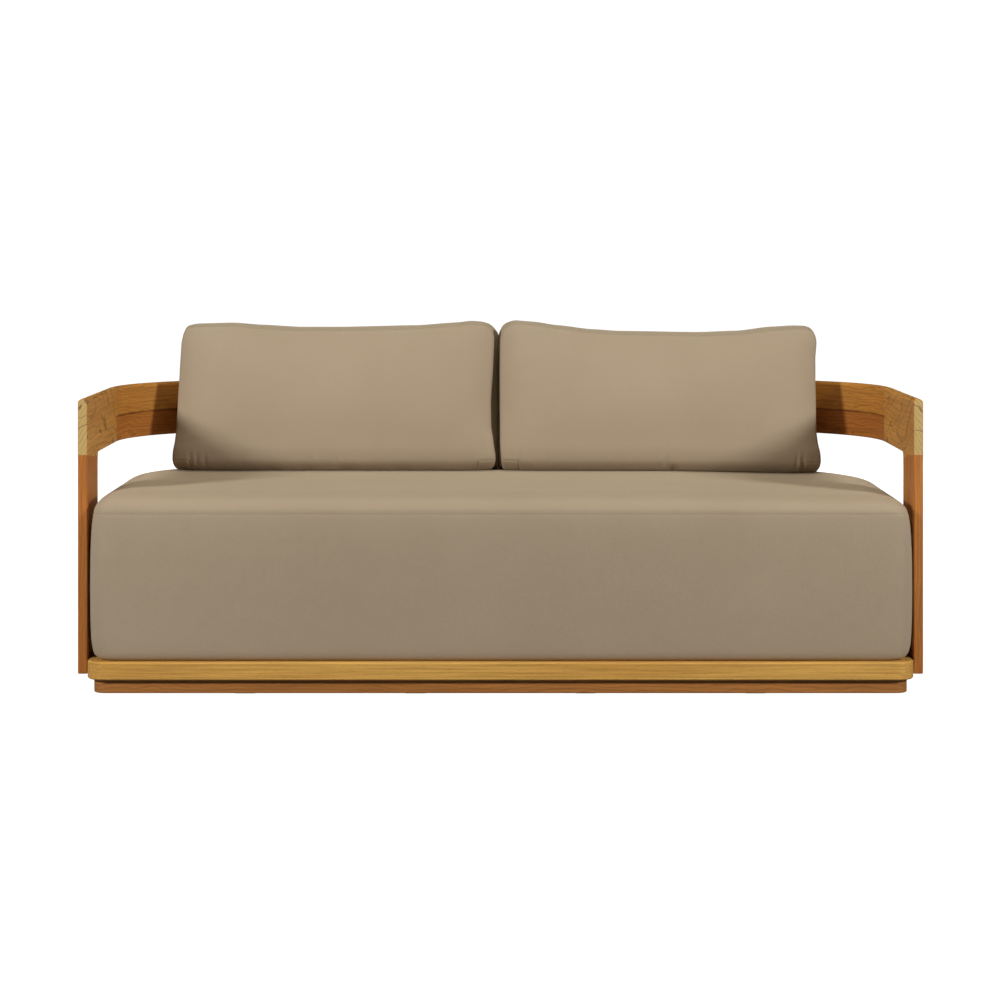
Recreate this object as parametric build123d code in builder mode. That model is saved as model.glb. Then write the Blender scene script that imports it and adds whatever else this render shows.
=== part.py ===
from build123d import *
import os
from math import cos, radians, sin, sqrt

# A patio loveseat: a low slatted deck on a plinth, four flat posts that carry a
# U-shaped rail, one thick seat cushion and two back cushions.
# X runs along the seat, Y from front to back, Z up. Millimetres.
# The origin is on the ground, in the middle of the whole piece.

# Whole piece
overall_width = 1900.0
overall_depth = 828.0
rail_top = 655.0

# Rail and posts, planed from one thickness of board
board_thickness = 22.0
rail_height = 131.0
lower_board_height = 61.0
rail_corner_radius = 342.0
rail_top_rounding = 8.0
edge_ease = 2.0
end_ease = 1.8
joint_ease = 0.8
rounding_steps = 3
post_setback = 56.0
post_width = 145.0
post_foot_height = 38.0
foot_ease = 1.5
brace_radius = 12.0
mitre_rise = 6.0
rear_post_inset = 88.0

# Loose tenons inside the rail
tenon_thickness = 8.0
rail_tenon_height = 32.0
rail_tenon_length = 50.0
post_tenon_width = 60.0
post_tenon_length = 70.0
tenon_clearance = 0.2
seam_tenon_thickness = 6.0
seam_tenon_height = 20.0
seam_tenon_length = 40.0
seam_tenon_count = 5

# Deck
deck_top = 73.0
deck_thickness = 40.0
deck_board_width = 95.0
deck_front_radius = 43.0
deck_corner_ease = 2.5
spacer_thickness = 3.0
slat_count = 6
slat_thickness = 20.0
slat_gap = 10.0
slat_end_gap = 3.0
slat_rounding = 2.0
housing_depth = 4.0
bearer_width = 45.0
bearer_count = 4
outer_bearer_inset = 38.0
bearer_tenon_length = 15.0
bearer_tenon_shoulder = 6.0
bearer_tenon_lift = 4.0

# Plinth
plinth_setback = 14.5
plinth_width = 45.0
plinth_rear_chamfer = 180.0
plinth_ease = 1.5
plinth_tenon_length = 50.0
plinth_tenon_thickness = 8.0
plinth_tenon_height = 24.0
glide_length = 44.0
glide_width = 26.0
glide_height = 2.0

# Post fixings
fixing_spread = 84.0
fixing_height = 56.0
screw_diameter = 8.0
screw_length = 56.0
screw_head_width = 12.0
screw_head_height = 5.5
counterbore_diameter = 14.5
counterbore_depth = 12.0
plug_thickness = 5.0
bore_clearance = 0.1
spacer_height = 24.0
spacer_margin = 6.0

# Seat cushion
rest_gap = 0.3
cover_thickness = 3.0
foam_clearance = 0.5
seat_seam_height = 327.0
seat_crown_rise = 45.0
seat_crown_run = 185.0
seat_side_gap = 5.5
seat_front_gap = 8.0
seat_back_gap = 10.0
seat_draw = 24.0
seat_corner_radius = 46.0

# Back cushions
back_side_clearance = 128.5
back_gap = 7.0
back_depth = 143.0
back_lean = 80.0
rail_gap = 1.1
back_low_seam = 26.0
back_top_seam = 334.0
back_undercut = 12.0
back_crown = 14.0
back_top_crown = 10.0
back_corner_lift = 10.0
back_end_draw = 13.0

# Zips
zip_width = 7.0
zip_tooth_width = 4.0
zip_tooth_height = 1.2
seat_zip_length = 1100.0
back_zip_length = 480.0
slider_length = 12.0
slider_width = 9.0
slider_height = 3.6
slider_gap = 0.4
pull_length = 18.0
pull_width = 5.0
pull_thickness = 1.4

# Places worked out from the sizes
front_y = -overall_depth / 2
back_y = overall_depth / 2
outer_x = overall_width / 2
inner_x = outer_x - board_thickness
corner_x = outer_x - rail_corner_radius
corner_y = back_y - rail_corner_radius
rail_bottom = rail_top - rail_height
rail_split = rail_bottom + lower_board_height
rear_post_middle = corner_x - rear_post_inset
outer_bearer_x = corner_x - outer_bearer_inset
back_width = inner_x - back_side_clearance - back_gap / 2
post_front_y = front_y + post_setback
post_back_y = post_front_y + post_width
post_middle_y = post_front_y + post_width / 2
deck_bottom = deck_top - deck_thickness
deck_half = inner_x - spacer_thickness
deck_back_y = back_y - board_thickness - spacer_thickness
deck_back_radius = deck_half - corner_x
inner_half = deck_half - deck_board_width
inner_front_y = front_y + deck_board_width
inner_back_y = deck_back_y - deck_board_width
inner_radius = deck_back_radius - deck_board_width
rail_axis = Axis((corner_x, corner_y, 0), (0, 0, 1))


def plan(half_width, low_y, high_y, front_radius, back_radius):
    """Plan outline in the open sketch: small corners in front, large ones behind."""
    with Locations((0, (low_y + high_y) / 2)):
        Rectangle(2 * half_width, high_y - low_y)
    fillet(vertices().group_by(Axis.Y)[-1], back_radius)
    if front_radius:
        fillet(vertices().group_by(Axis.Y)[0], front_radius)


def save(builder, name):
    """Label a finished piece and write it under its name."""
    builder.part.label = name
    export_step(builder.part, f"parts/{name}.step")


def save_pair(builder, name):
    """Write a right-hand piece and its mirrored left-hand twin."""
    save(builder, f"{name}_right")
    with BuildPart() as twin:
        mirror(builder.part, about=Plane.YZ)
    save(twin, f"{name}_left")


os.makedirs("parts", exist_ok=True)

# Cutting planes shared by the deck boards
front_mitre = Plane(origin=(inner_half, inner_front_y, 0), z_dir=(1, 1, 0))
front_mitre_left = Plane(origin=(-inner_half, inner_front_y, 0), z_dir=(-1, 1, 0))
corner_joint = Plane(origin=(0, corner_y, 0), z_dir=(0, 1, 0))
back_joint = Plane(origin=(corner_x, 0, 0), z_dir=(1, 0, 0))
back_joint_left = Plane(origin=(-corner_x, 0, 0), z_dir=(1, 0, 0))
middle = Plane.YZ

# Places of the fixings: right post seen from the side, rear post seen from behind
side_fixings = [(post_middle_y + s * fixing_spread / 2, fixing_height) for s in (-1, 1)]
rear_fixings = [
    (side * rear_post_middle + s * fixing_spread / 2, fixing_height) for side in (-1, 1) for s in (-1, 1)
]
outward = {
    "right": Plane(origin=(outer_x, 0, 0), x_dir=(0, 1, 0), z_dir=(1, 0, 0)),
    "left": Plane(origin=(-outer_x, 0, 0), x_dir=(0, -1, 0), z_dir=(-1, 0, 0)),
    "rear": Plane(origin=(0, back_y, 0), x_dir=(-1, 0, 0), z_dir=(0, 1, 0)),
}


def fixing_points(side):
    """Middles of the fixings on one outer face, in that face's own plane."""
    if side == "right":
        return side_fixings
    if side == "left":
        return [(-y, z) for y, z in side_fixings]
    return [(-x, z) for x, z in rear_fixings]


def bored(side, low, high, diameter, mode):
    """Round bar or bore along each fixing, between two depths below the outer face."""
    with BuildSketch(outward[side].offset(-high)) as rounds:
        with Locations(*fixing_points(side)):
            Circle(diameter / 2)
    extrude(rounds.sketch, amount=high - low, mode=mode)


# Deck frame: a ring sawn into the front, side and back boards
with BuildPart() as deck_ring:
    with BuildSketch(Plane.XY.offset(deck_bottom)):
        plan(deck_half, front_y, deck_back_y, deck_front_radius, deck_back_radius)
    extrude(amount=deck_thickness)
    rim = edges().filter_by(Plane.XY)
    chamfer(rim, deck_corner_ease)
    with BuildSketch(Plane.XY.offset(deck_bottom)):
        plan(inner_half, inner_front_y, inner_back_y, 0, inner_radius)
    extrude(amount=deck_thickness, mode=Mode.SUBTRACT)

# Slots in the front and back boards for the bearers' stub tenons
bearer_places = [outer_bearer_x * (2 * n / (bearer_count - 1) - 1) for n in range(bearer_count)]
bearer_top = deck_top - slat_thickness + housing_depth
bearer_height = bearer_top - deck_bottom
stub_height = bearer_height - 2 * bearer_tenon_lift
stub_width = bearer_width - 2 * bearer_tenon_shoulder


def bearer_mortises():
    """Slots for the stub tenons at both ends of every full-length bearer."""
    reach = inner_back_y - inner_front_y + 2 * bearer_tenon_length
    with BuildSketch(Plane.XY.offset(deck_bottom + bearer_tenon_lift - tenon_clearance)) as slots:
        with Locations(*[(x, (inner_front_y + inner_back_y) / 2) for x in bearer_places]):
            Rectangle(stub_width + 2 * tenon_clearance, reach + 2 * tenon_clearance)
    extrude(slots.sketch, amount=stub_height + 2 * tenon_clearance, mode=Mode.SUBTRACT)


# Places along the plinth, for its tenons into the deck and for the pads below
plinth_half = deck_half - plinth_setback
plinth_front_y = front_y + plinth_setback
plinth_back_y = deck_back_y - plinth_setback
plinth_line_x = plinth_half - plinth_width / 2
plinth_line_front_y = plinth_front_y + plinth_width / 2
plinth_line_back_y = plinth_back_y - plinth_width / 2
plinth_side_middle_y = (plinth_front_y + corner_y) / 2
long_places = [(x, y) for x in bearer_places for y in (plinth_line_front_y, plinth_line_back_y)]
side_places = [(side * plinth_line_x, plinth_side_middle_y) for side in (-1, 1)]


def plinth_tenon_blocks(grow, mode):
    """Loose tenons that stand half in the plinth and half in the deck."""
    height = plinth_tenon_height + 2 * grow
    with Locations(*[(x, y, deck_bottom) for x, y in long_places]):
        Box(plinth_tenon_length + 2 * grow, plinth_tenon_thickness + 2 * grow, height, mode=mode)
    with Locations(*[(x, y, deck_bottom) for x, y in side_places]):
        Box(plinth_tenon_thickness + 2 * grow, plinth_tenon_length + 2 * grow, height, mode=mode)


with BuildPart() as deck_front_board:
    add(deck_ring.part)
    split(bisect_by=corner_joint, keep=Keep.BOTTOM)
    split(bisect_by=front_mitre, keep=Keep.BOTTOM)
    split(bisect_by=front_mitre_left, keep=Keep.BOTTOM)
    bearer_mortises()
    plinth_tenon_blocks(tenon_clearance, Mode.SUBTRACT)
save(deck_front_board, "deck_front_board")

with BuildPart() as deck_back_board:
    add(deck_ring.part)
    split(bisect_by=corner_joint, keep=Keep.TOP)
    split(bisect_by=back_joint, keep=Keep.BOTTOM)
    split(bisect_by=back_joint_left, keep=Keep.TOP)
    bearer_mortises()
    plinth_tenon_blocks(tenon_clearance, Mode.SUBTRACT)
    bored("rear", 0, screw_length + counterbore_depth, screw_diameter + 2 * bore_clearance, Mode.SUBTRACT)
save(deck_back_board, "deck_back_board")

with BuildPart() as deck_side:
    add(deck_ring.part)
    split(bisect_by=corner_joint, keep=Keep.BOTTOM)
    split(bisect_by=middle, keep=Keep.TOP)
    split(bisect_by=front_mitre, keep=Keep.TOP)
    plinth_tenon_blocks(tenon_clearance, Mode.SUBTRACT)
    bored("right", 0, screw_length + counterbore_depth, screw_diameter + 2 * bore_clearance, Mode.SUBTRACT)
save_pair(deck_side, "deck_side")

with BuildPart() as deck_corner:
    add(deck_ring.part)
    split(bisect_by=corner_joint, keep=Keep.TOP)
    split(bisect_by=back_joint, keep=Keep.TOP)
save_pair(deck_corner, "deck_corner")

# Slats, let into shallow housings in the bearers
slat_room = inner_back_y - inner_front_y
slat_width = (slat_room - (slat_count + 1) * slat_gap) / slat_count
slat_middles = [
    inner_front_y + slat_gap + slat_width / 2 + n * (slat_width + slat_gap) for n in range(slat_count)
]
slat_bottom = deck_top - slat_thickness
for number, y in enumerate(slat_middles, start=1):
    with BuildPart() as slat:
        with BuildSketch(Plane.XY.offset(slat_bottom)):
            plan(
                inner_half - slat_end_gap,
                inner_front_y + slat_end_gap,
                inner_back_y - slat_end_gap,
                0,
                inner_radius - slat_end_gap,
            )
            with Locations((0, y)):
                Rectangle(2 * inner_half, slat_width, mode=Mode.INTERSECT)
        extrude(amount=slat_thickness)
        fillet(edges().filter_by(Axis.X).group_by(Axis.Z)[-1], slat_rounding)
    save(slat, f"slat_{number}")


def slat_housings():
    """Shallow notches across the top of a bearer, one under each slat."""
    with BuildSketch(Plane.XY.offset(slat_bottom)) as notches:
        with Locations(*[(0, y) for y in slat_middles]):
            Rectangle(2 * inner_half, slat_width)
    extrude(notches.sketch, amount=slat_thickness, mode=Mode.SUBTRACT)


for number, x in enumerate(bearer_places, start=1):
    with BuildPart() as bearer:
        with BuildSketch(Plane.XY.offset(deck_bottom)):
            with Locations((x, (inner_front_y + inner_back_y) / 2)):
                Rectangle(bearer_width, slat_room)
        extrude(amount=bearer_height)
        slat_housings()
        with BuildSketch(Plane.XY.offset(deck_bottom + bearer_tenon_lift)):
            with Locations((x, (inner_front_y + inner_back_y) / 2)):
                Rectangle(stub_width, slat_room + 2 * bearer_tenon_length)
        extrude(amount=stub_height)
    save(bearer, f"bearer_{number}")

with BuildPart() as ledger:
    with BuildSketch(Plane.XY.offset(deck_bottom)):
        with Locations((inner_half - bearer_width / 2, (inner_front_y + corner_y) / 2)):
            Rectangle(bearer_width, corner_y - inner_front_y)
    extrude(amount=bearer_height)
    slat_housings()
save_pair(ledger, "ledger")

# Plinth: a ring with cut-off rear corners, sawn into six boards
plinth_bottom = glide_height
plinth_height = deck_bottom - plinth_bottom
slope = radians(45 / 2)
side_mitre = Plane(
    origin=(plinth_half, plinth_back_y - plinth_rear_chamfer, 0),
    z_dir=(-sin(slope), cos(slope), 0),
)
rear_mitre = Plane(
    origin=(plinth_half - plinth_rear_chamfer, plinth_back_y, 0),
    z_dir=(-cos(slope), sin(slope), 0),
)
rear_mitre_left = Plane(
    origin=(plinth_rear_chamfer - plinth_half, plinth_back_y, 0),
    z_dir=(cos(slope), sin(slope), 0),
)
front_butt = Plane(origin=(0, plinth_front_y + plinth_width, 0), z_dir=(0, 1, 0))

with BuildPart() as plinth_ring:
    with BuildSketch(Plane.XY.offset(plinth_bottom)) as plinth_plan:
        with Locations((0, (plinth_front_y + plinth_back_y) / 2)):
            Rectangle(2 * plinth_half, plinth_back_y - plinth_front_y)
        chamfer(vertices().group_by(Axis.Y)[-1], plinth_rear_chamfer)
        offset(amount=-plinth_width, kind=Kind.INTERSECTION, mode=Mode.SUBTRACT)
        fillet(vertices().group_by(Axis.Y)[0], deck_front_radius - plinth_setback)
    extrude(amount=plinth_height)
    chamfer(faces().sort_by(Axis.Z)[0].outer_wire().edges(), plinth_ease)
    plinth_tenon_blocks(tenon_clearance, Mode.SUBTRACT)

with BuildPart() as plinth_front:
    add(plinth_ring.part)
    split(bisect_by=front_butt, keep=Keep.BOTTOM)
save(plinth_front, "plinth_front")

with BuildPart() as plinth_side:
    add(plinth_ring.part)
    split(bisect_by=front_butt, keep=Keep.TOP)
    split(bisect_by=middle, keep=Keep.TOP)
    split(bisect_by=side_mitre, keep=Keep.BOTTOM)
save_pair(plinth_side, "plinth_side")

with BuildPart() as plinth_corner:
    add(plinth_ring.part)
    split(bisect_by=middle, keep=Keep.TOP)
    split(bisect_by=side_mitre, keep=Keep.TOP)
    split(bisect_by=rear_mitre, keep=Keep.BOTTOM)
save_pair(plinth_corner, "plinth_corner")

with BuildPart() as plinth_back:
    add(plinth_ring.part)
    split(bisect_by=corner_joint, keep=Keep.TOP)
    split(bisect_by=rear_mitre, keep=Keep.TOP)
    split(bisect_by=rear_mitre_left, keep=Keep.TOP)
save(plinth_back, "plinth_back")

with BuildPart() as plinth_cross:
    cross_front_y = plinth_front_y + plinth_width
    cross_back_y = plinth_back_y - plinth_width
    with BuildSketch(Plane.XY.offset(plinth_bottom)):
        with Locations((bearer_places[-2], (cross_front_y + cross_back_y) / 2)):
            Rectangle(plinth_width, cross_back_y - cross_front_y)
    extrude(amount=plinth_height)
save_pair(plinth_cross, "plinth_cross")

with BuildPart() as plinth_tenons:
    plinth_tenon_blocks(0, Mode.ADD)
save(plinth_tenons, "plinth_tenons")

# Glides: plain pads under the plinth
with BuildPart() as glides:
    with BuildSketch():
        with Locations(*long_places):
            Rectangle(glide_length, glide_width)
        with Locations(*side_places):
            Rectangle(glide_width, glide_length)
    extrude(amount=glide_height)
save(glides, "glides")

# Arm and front post, drawn as one bracket and parted along the sloping joint
mitre_drop = mitre_rise + brace_radius
arm_mitre = Plane(
    origin=(0, post_back_y, rail_bottom - brace_radius),
    x_dir=(1, 0, 0),
    z_dir=(0, mitre_drop, post_width),
)
board_middle_x = outer_x - board_thickness / 2
board_middle_y = back_y - board_thickness / 2


def slot(places, length_x, length_y, height, grow, mode):
    """Blocks for loose tenons at the given middles, each grown by a clearance all round."""
    with Locations(*places):
        Box(length_x + 2 * grow, length_y + 2 * grow, height + 2 * grow, mode=mode)


upper_middle = (rail_split + rail_top) / 2
lower_middle = (rail_bottom + rail_split) / 2
side_end_places = [(board_middle_x, corner_y, z) for z in (lower_middle, upper_middle)]
back_end_places = [
    (side * corner_x, board_middle_y, z) for side in (-1, 1) for z in (lower_middle, upper_middle)
]
post_tenon_z = rail_bottom - brace_radius / 2
front_post_places = [(board_middle_x, post_middle_y, post_tenon_z)]
rear_post_places = [(side * rear_post_middle, board_middle_y, rail_bottom) for side in (-1, 1)]


def side_end_tenons(grow, mode):
    """Loose tenons at the side ends of a corner."""
    slot(side_end_places, tenon_thickness, rail_tenon_length, rail_tenon_height, grow, mode)


def back_end_tenons(grow, mode):
    """Loose tenons at the joints of the back."""
    slot(back_end_places, rail_tenon_length, tenon_thickness, rail_tenon_height, grow, mode)


def front_post_tenons(grow, mode):
    """Loose tenons at the front posts."""
    slot(front_post_places, tenon_thickness, post_tenon_width, post_tenon_length, grow, mode)


def rear_post_tenons(grow, mode):
    """Loose tenons at the rear posts."""
    slot(rear_post_places, post_tenon_width, tenon_thickness, post_tenon_length, grow, mode)


with BuildPart() as bracket:
    with BuildSketch(Plane.YZ.offset(inner_x)):
        with BuildLine():
            Polyline(
                (post_front_y, post_foot_height),
                (post_front_y, rail_top),
                (corner_y, rail_top),
                (corner_y, rail_bottom),
                (post_back_y, rail_bottom),
                (post_back_y, post_foot_height),
                close=True,
            )
        make_face()
        fillet(vertices().group_by(Axis.X)[1].sort_by(Axis.Y)[-1], brace_radius)
    extrude(amount=board_thickness)
    fillet(edges().filter_by(Axis.Y).group_by(Axis.Z)[-1], rail_top_rounding)
    underside = edges().filter_by(Axis.Y).group_by(Axis.Z)[1]
    brace = edges().filter_by(GeomType.CIRCLE).filter_by(lambda e: abs(e.radius - brace_radius) < edge_ease)
    post_rear = edges().filter_by(Axis.Z).group_by(Axis.Y)[1]
    chamfer(underside + brace + post_rear, edge_ease)
    front_outline = edges().group_by(Axis.Y)[0].filter_by(lambda e: e.center().Z > post_foot_height + foot_ease)
    chamfer(front_outline, end_ease)
    bored("right", 0, counterbore_depth, counterbore_diameter, Mode.SUBTRACT)
    bored("right", 0, board_thickness, screw_diameter + 2 * bore_clearance, Mode.SUBTRACT)
    front_post_tenons(tenon_clearance, Mode.SUBTRACT)

with BuildPart() as front_post:
    add(bracket.part)
    split(bisect_by=arm_mitre, keep=Keep.BOTTOM)
    chamfer(faces().sort_by(Axis.Z)[0].outer_wire().edges(), foot_ease)
save_pair(front_post, "front_post")

with BuildPart() as arm_block:
    add(bracket.part)
    split(bisect_by=arm_mitre, keep=Keep.TOP)
    side_end_tenons(tenon_clearance, Mode.SUBTRACT)
    chamfer(faces().sort_by(Axis.Y)[-1].outer_wire().edges(), joint_ease)
save_pair(arm_block, "arm_block")


def rounding_points(x, z, radius, first_angle):
    """Points of a quarter round about a middle, planed as a few narrow flats."""
    points = []
    for step in range(rounding_steps + 1):
        angle = radians(first_angle + 90 * step / rounding_steps)
        points.append((x + radius * cos(angle), z + radius * sin(angle)))
    return points


def upper_section(middle_of_board):
    """Cross-section of the rail's upper board: rounded on top, eased at the joint."""
    half = board_thickness / 2
    round_x = half - rail_top_rounding
    round_z = rail_top - rail_top_rounding
    outline = [
        (middle_of_board - half, rail_split + joint_ease),
        (middle_of_board - half + joint_ease, rail_split),
        (middle_of_board + half - joint_ease, rail_split),
        (middle_of_board + half, rail_split + joint_ease),
    ]
    outline += rounding_points(middle_of_board + round_x, round_z, rail_top_rounding, 0)
    outline += rounding_points(middle_of_board - round_x, round_z, rail_top_rounding, 90)
    Polygon(*outline, align=None)


def lower_section(middle_of_board):
    """Cross-section of the rail's lower board: eased at the joint and below."""
    with Locations((middle_of_board, lower_middle)):
        Rectangle(board_thickness, rail_split - rail_bottom)
    chamfer(vertices().group_by(Axis.Y)[0], edge_ease)
    chamfer(vertices().group_by(Axis.Y)[-1], joint_ease)


# Loose tenons across the seam between the two boards of the back
seam_tenon_places = [
    (n * 2 * corner_x / (seam_tenon_count + 1) - corner_x, board_middle_y, rail_split)
    for n in range(1, seam_tenon_count + 1)
]


def seam_tenons(grow, mode):
    """Loose tenons across the seam between upper and lower board."""
    slot(seam_tenon_places, seam_tenon_length, seam_tenon_thickness, seam_tenon_height, grow, mode)


corner_section_plane = Plane(origin=(0, corner_y, 0), x_dir=(1, 0, 0), z_dir=(0, -1, 0))

for name, section in (("upper", upper_section), ("lower", lower_section)):
    with BuildPart() as corner_board:
        with BuildSketch(corner_section_plane):
            section(board_middle_x)
        revolve(axis=rail_axis, revolution_arc=90)
        chamfer(faces().sort_by(Axis.Y)[0].outer_wire().edges(), joint_ease)
        chamfer(faces().sort_by(Axis.X)[0].outer_wire().edges(), joint_ease)
        side_end_tenons(tenon_clearance, Mode.SUBTRACT)
        back_end_tenons(tenon_clearance, Mode.SUBTRACT)
    save_pair(corner_board, f"rail_corner_{name}")

    with BuildPart() as back_board:
        with BuildSketch(Plane.YZ.offset(-corner_x)):
            section(board_middle_y)
        extrude(amount=2 * corner_x)
        chamfer(faces().sort_by(Axis.X)[0].outer_wire().edges(), joint_ease)
        chamfer(faces().sort_by(Axis.X)[-1].outer_wire().edges(), joint_ease)
        back_end_tenons(tenon_clearance, Mode.SUBTRACT)
        seam_tenons(tenon_clearance, Mode.SUBTRACT)
        if name == "lower":
            rear_post_tenons(tenon_clearance, Mode.SUBTRACT)
    save(back_board, f"back_rail_{name}")

with BuildPart() as rear_post:
    with BuildSketch(Plane.XY.offset(post_foot_height)):
        with Locations((rear_post_middle, board_middle_y)):
            Rectangle(post_width, board_thickness)
    extrude(amount=rail_bottom - post_foot_height)
    chamfer(edges().filter_by(Axis.Z), edge_ease)
    chamfer(faces().sort_by(Axis.Z)[0].outer_wire().edges(), foot_ease)
    bored("rear", 0, counterbore_depth, counterbore_diameter, Mode.SUBTRACT)
    bored("rear", 0, board_thickness, screw_diameter + 2 * bore_clearance, Mode.SUBTRACT)
    rear_post_tenons(tenon_clearance, Mode.SUBTRACT)
save_pair(rear_post, "rear_post")

with BuildPart() as rail_tenons:
    side_end_tenons(0, Mode.ADD)
    mirror(about=Plane.YZ)
    back_end_tenons(0, Mode.ADD)
save(rail_tenons, "rail_tenons")

with BuildPart() as post_tenons:
    front_post_tenons(0, Mode.ADD)
    mirror(about=Plane.YZ)
    rear_post_tenons(0, Mode.ADD)
save(post_tenons, "post_tenons")

with BuildPart() as rail_seam_tenons:
    seam_tenons(0, Mode.ADD)
save(rail_seam_tenons, "rail_seam_tenons")

# Fixings: two hexagon-head screws in plugged counterbores, with a spacer pad between them
screw_end = counterbore_depth + screw_length
pad_middles = {
    "right": [(post_middle_y, fixing_height)],
    "left": [(-post_middle_y, fixing_height)],
    "rear": [(-rear_post_middle, fixing_height), (rear_post_middle, fixing_height)],
}

with BuildPart() as post_screws:
    for side in outward:
        bored(side, counterbore_depth, screw_end, screw_diameter, Mode.ADD)
        with BuildSketch(outward[side].offset(-counterbore_depth)):
            with Locations(*fixing_points(side)):
                RegularPolygon(screw_head_width / 2, 6, major_radius=False)
        extrude(amount=screw_head_height)
save(post_screws, "post_screws")

with BuildPart() as screw_plugs:
    for side in outward:
        bored(side, 0, plug_thickness, counterbore_diameter - 2 * bore_clearance, Mode.ADD)
save(screw_plugs, "screw_plugs")

with BuildPart() as post_spacers:
    for side in outward:
        with BuildSketch(outward[side].offset(-board_thickness - spacer_thickness)):
            with Locations(*pad_middles[side]):
                Rectangle(fixing_spread - screw_diameter - 2 * spacer_margin, spacer_height)
        extrude(amount=spacer_thickness)
save(post_spacers, "post_spacers")

# Seat cushion: plan outlines stacked upwards, first the boxing, then the crown.
# Height shares with the share of the draw-in there, then rise shares with run shares.
# Its cover holds a plain foam block and the wadding that swells over it.
seat_form_shares = ((0, 1), (0.04, 0.66), (0.12, 0.34), (0.3, 0.08), (0.55, 0), (0.8, 0.16), (1, 0.6))
seat_crown_shares = ((0.4, 0.04), (0.66, 0.1), (0.82, 0.2), (0.93, 0.4), (0.98, 0.66), (1, 1))
seat_zip_share = 0.55
seat_half = inner_x - seat_side_gap
seat_front_y = front_y + seat_front_gap
seat_back_y = back_y - board_thickness - seat_back_gap
seat_bottom = deck_top + rest_gap
seat_seam = seat_bottom + seat_seam_height
seat_top = seat_seam + seat_crown_rise


def seat_outline(height, inset):
    """One plan outline of the seat cushion, drawn in from its widest."""
    with BuildSketch(Plane.XY.offset(height)) as outline:
        plan(
            seat_half - inset,
            seat_front_y + inset,
            seat_back_y - inset,
            seat_corner_radius,
            seat_half - corner_x - inset,
        )
    return outline.sketch


def seat_foam_block(clearance, mode):
    """Plain block inside the seat cushion, as cut from a slab of foam."""
    block = seat_outline(seat_bottom + cover_thickness - clearance, seat_draw + cover_thickness - clearance)
    extrude(block, amount=seat_seam_height - cover_thickness + 2 * clearance, mode=mode)


def zip_slot(plane, length):
    """Groove in the cover for the zip."""
    with BuildSketch(plane.offset(-cover_thickness)) as slot_outline:
        Rectangle(length, zip_width)
    extrude(slot_outline.sketch, amount=2 * cover_thickness, mode=Mode.SUBTRACT)


def zip_chain(plane, length):
    """Tape and teeth, flush with the cover, with the teeth just proud."""
    with BuildSketch(plane.offset(-cover_thickness)) as tape:
        Rectangle(length, zip_width)
    extrude(tape.sketch, amount=cover_thickness)
    with BuildSketch(plane) as teeth:
        Rectangle(length, zip_tooth_width)
    extrude(teeth.sketch, amount=zip_tooth_height)


def zip_slider(plane, length):
    """Slider straddling the teeth at one end, with its pull lying along the zip."""
    start = length / 2 - slider_length / 2
    with BuildSketch(plane.offset(slider_gap)) as body:
        with Locations((start, 0)):
            Rectangle(slider_length, slider_width)
    extrude(body.sketch, amount=slider_height)
    with BuildSketch(plane.offset(slider_gap)) as channel:
        with Locations((start, 0)):
            Rectangle(slider_length, zip_tooth_width + 2 * slider_gap)
    extrude(channel.sketch, amount=zip_tooth_height, mode=Mode.SUBTRACT)
    with BuildSketch(plane.offset(slider_gap + slider_height - pull_thickness)) as pull:
        with Locations((start - pull_length / 2, 0)):
            SlotOverall(pull_length, pull_width)
    extrude(pull.sketch, amount=pull_thickness)


seat_zip_plane = Plane(
    origin=(0, seat_back_y, seat_bottom + seat_zip_share * seat_seam_height),
    x_dir=(-1, 0, 0),
    z_dir=(0, 1, 0),
)

with BuildPart() as seat_cover:
    outlines = []
    for share, draw_share in seat_form_shares:
        outlines.append(seat_outline(seat_bottom + share * seat_seam_height, draw_share * seat_draw))
    for rise_share, run_share in seat_crown_shares:
        inset = seat_form_shares[-1][1] * seat_draw + run_share * seat_crown_run
        outlines.append(seat_outline(seat_seam + rise_share * seat_crown_rise, inset))
    loft(outlines, ruled=True)
    seat_foam_block(foam_clearance, Mode.SUBTRACT)
    zip_slot(seat_zip_plane, seat_zip_length)
save(seat_cover, "seat_cushion_cover")

with BuildPart() as seat_foam:
    seat_foam_block(0, Mode.ADD)
save(seat_foam, "seat_cushion_foam")

with BuildPart() as seat_zip:
    zip_chain(seat_zip_plane, seat_zip_length)
save(seat_zip, "seat_cushion_zip")

with BuildPart() as seat_slider:
    zip_slider(seat_zip_plane, seat_zip_length)
save(seat_slider, "seat_cushion_slider")

# Back cushions: leaning side profiles, set one after another across the width.
# Share of the width, of the end draw-in, of the crown and of the corner lift.
# Each cover holds a plain foam block and the wadding that swells over it.
back_form_shares = (
    (0, 1, 0.1, 0.6),
    (0.01, 0.66, 0.25, 0.85),
    (0.03, 0.3, 0.45, 0.95),
    (0.07, 0.06, 0.65, 1),
    (0.12, 0, 0.8, 0.8),
    (0.3, 0, 1, 0.25),
    (0.6, 0, 1, 0.1),
    (0.755, 0, 0.95, 0.4),
    (0.82, 0, 0.9, 0.65),
    (0.88, 0, 0.8, 0.9),
    (0.93, 0.06, 0.65, 1),
    (0.97, 0.3, 0.45, 0.95),
    (0.99, 0.66, 0.25, 0.85),
    (1, 1, 0.1, 0.6),
)
back_zip_share = 0.43
back_base = seat_top + rest_gap
back_seam_low = back_base + back_low_seam
back_seam_top = back_base + back_top_seam

# How far the cushion has leaned, and swelled, where the rail's rounding begins
rest_share = (rail_top - rail_top_rounding - back_seam_low) / (back_seam_top - back_seam_low)
rest_reach = back_lean * rest_share + 4 * back_crown * rest_share * (1 - rest_share)
back_rear_y = back_y - board_thickness - rail_gap - rest_reach
back_front_y = back_rear_y - back_depth


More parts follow.
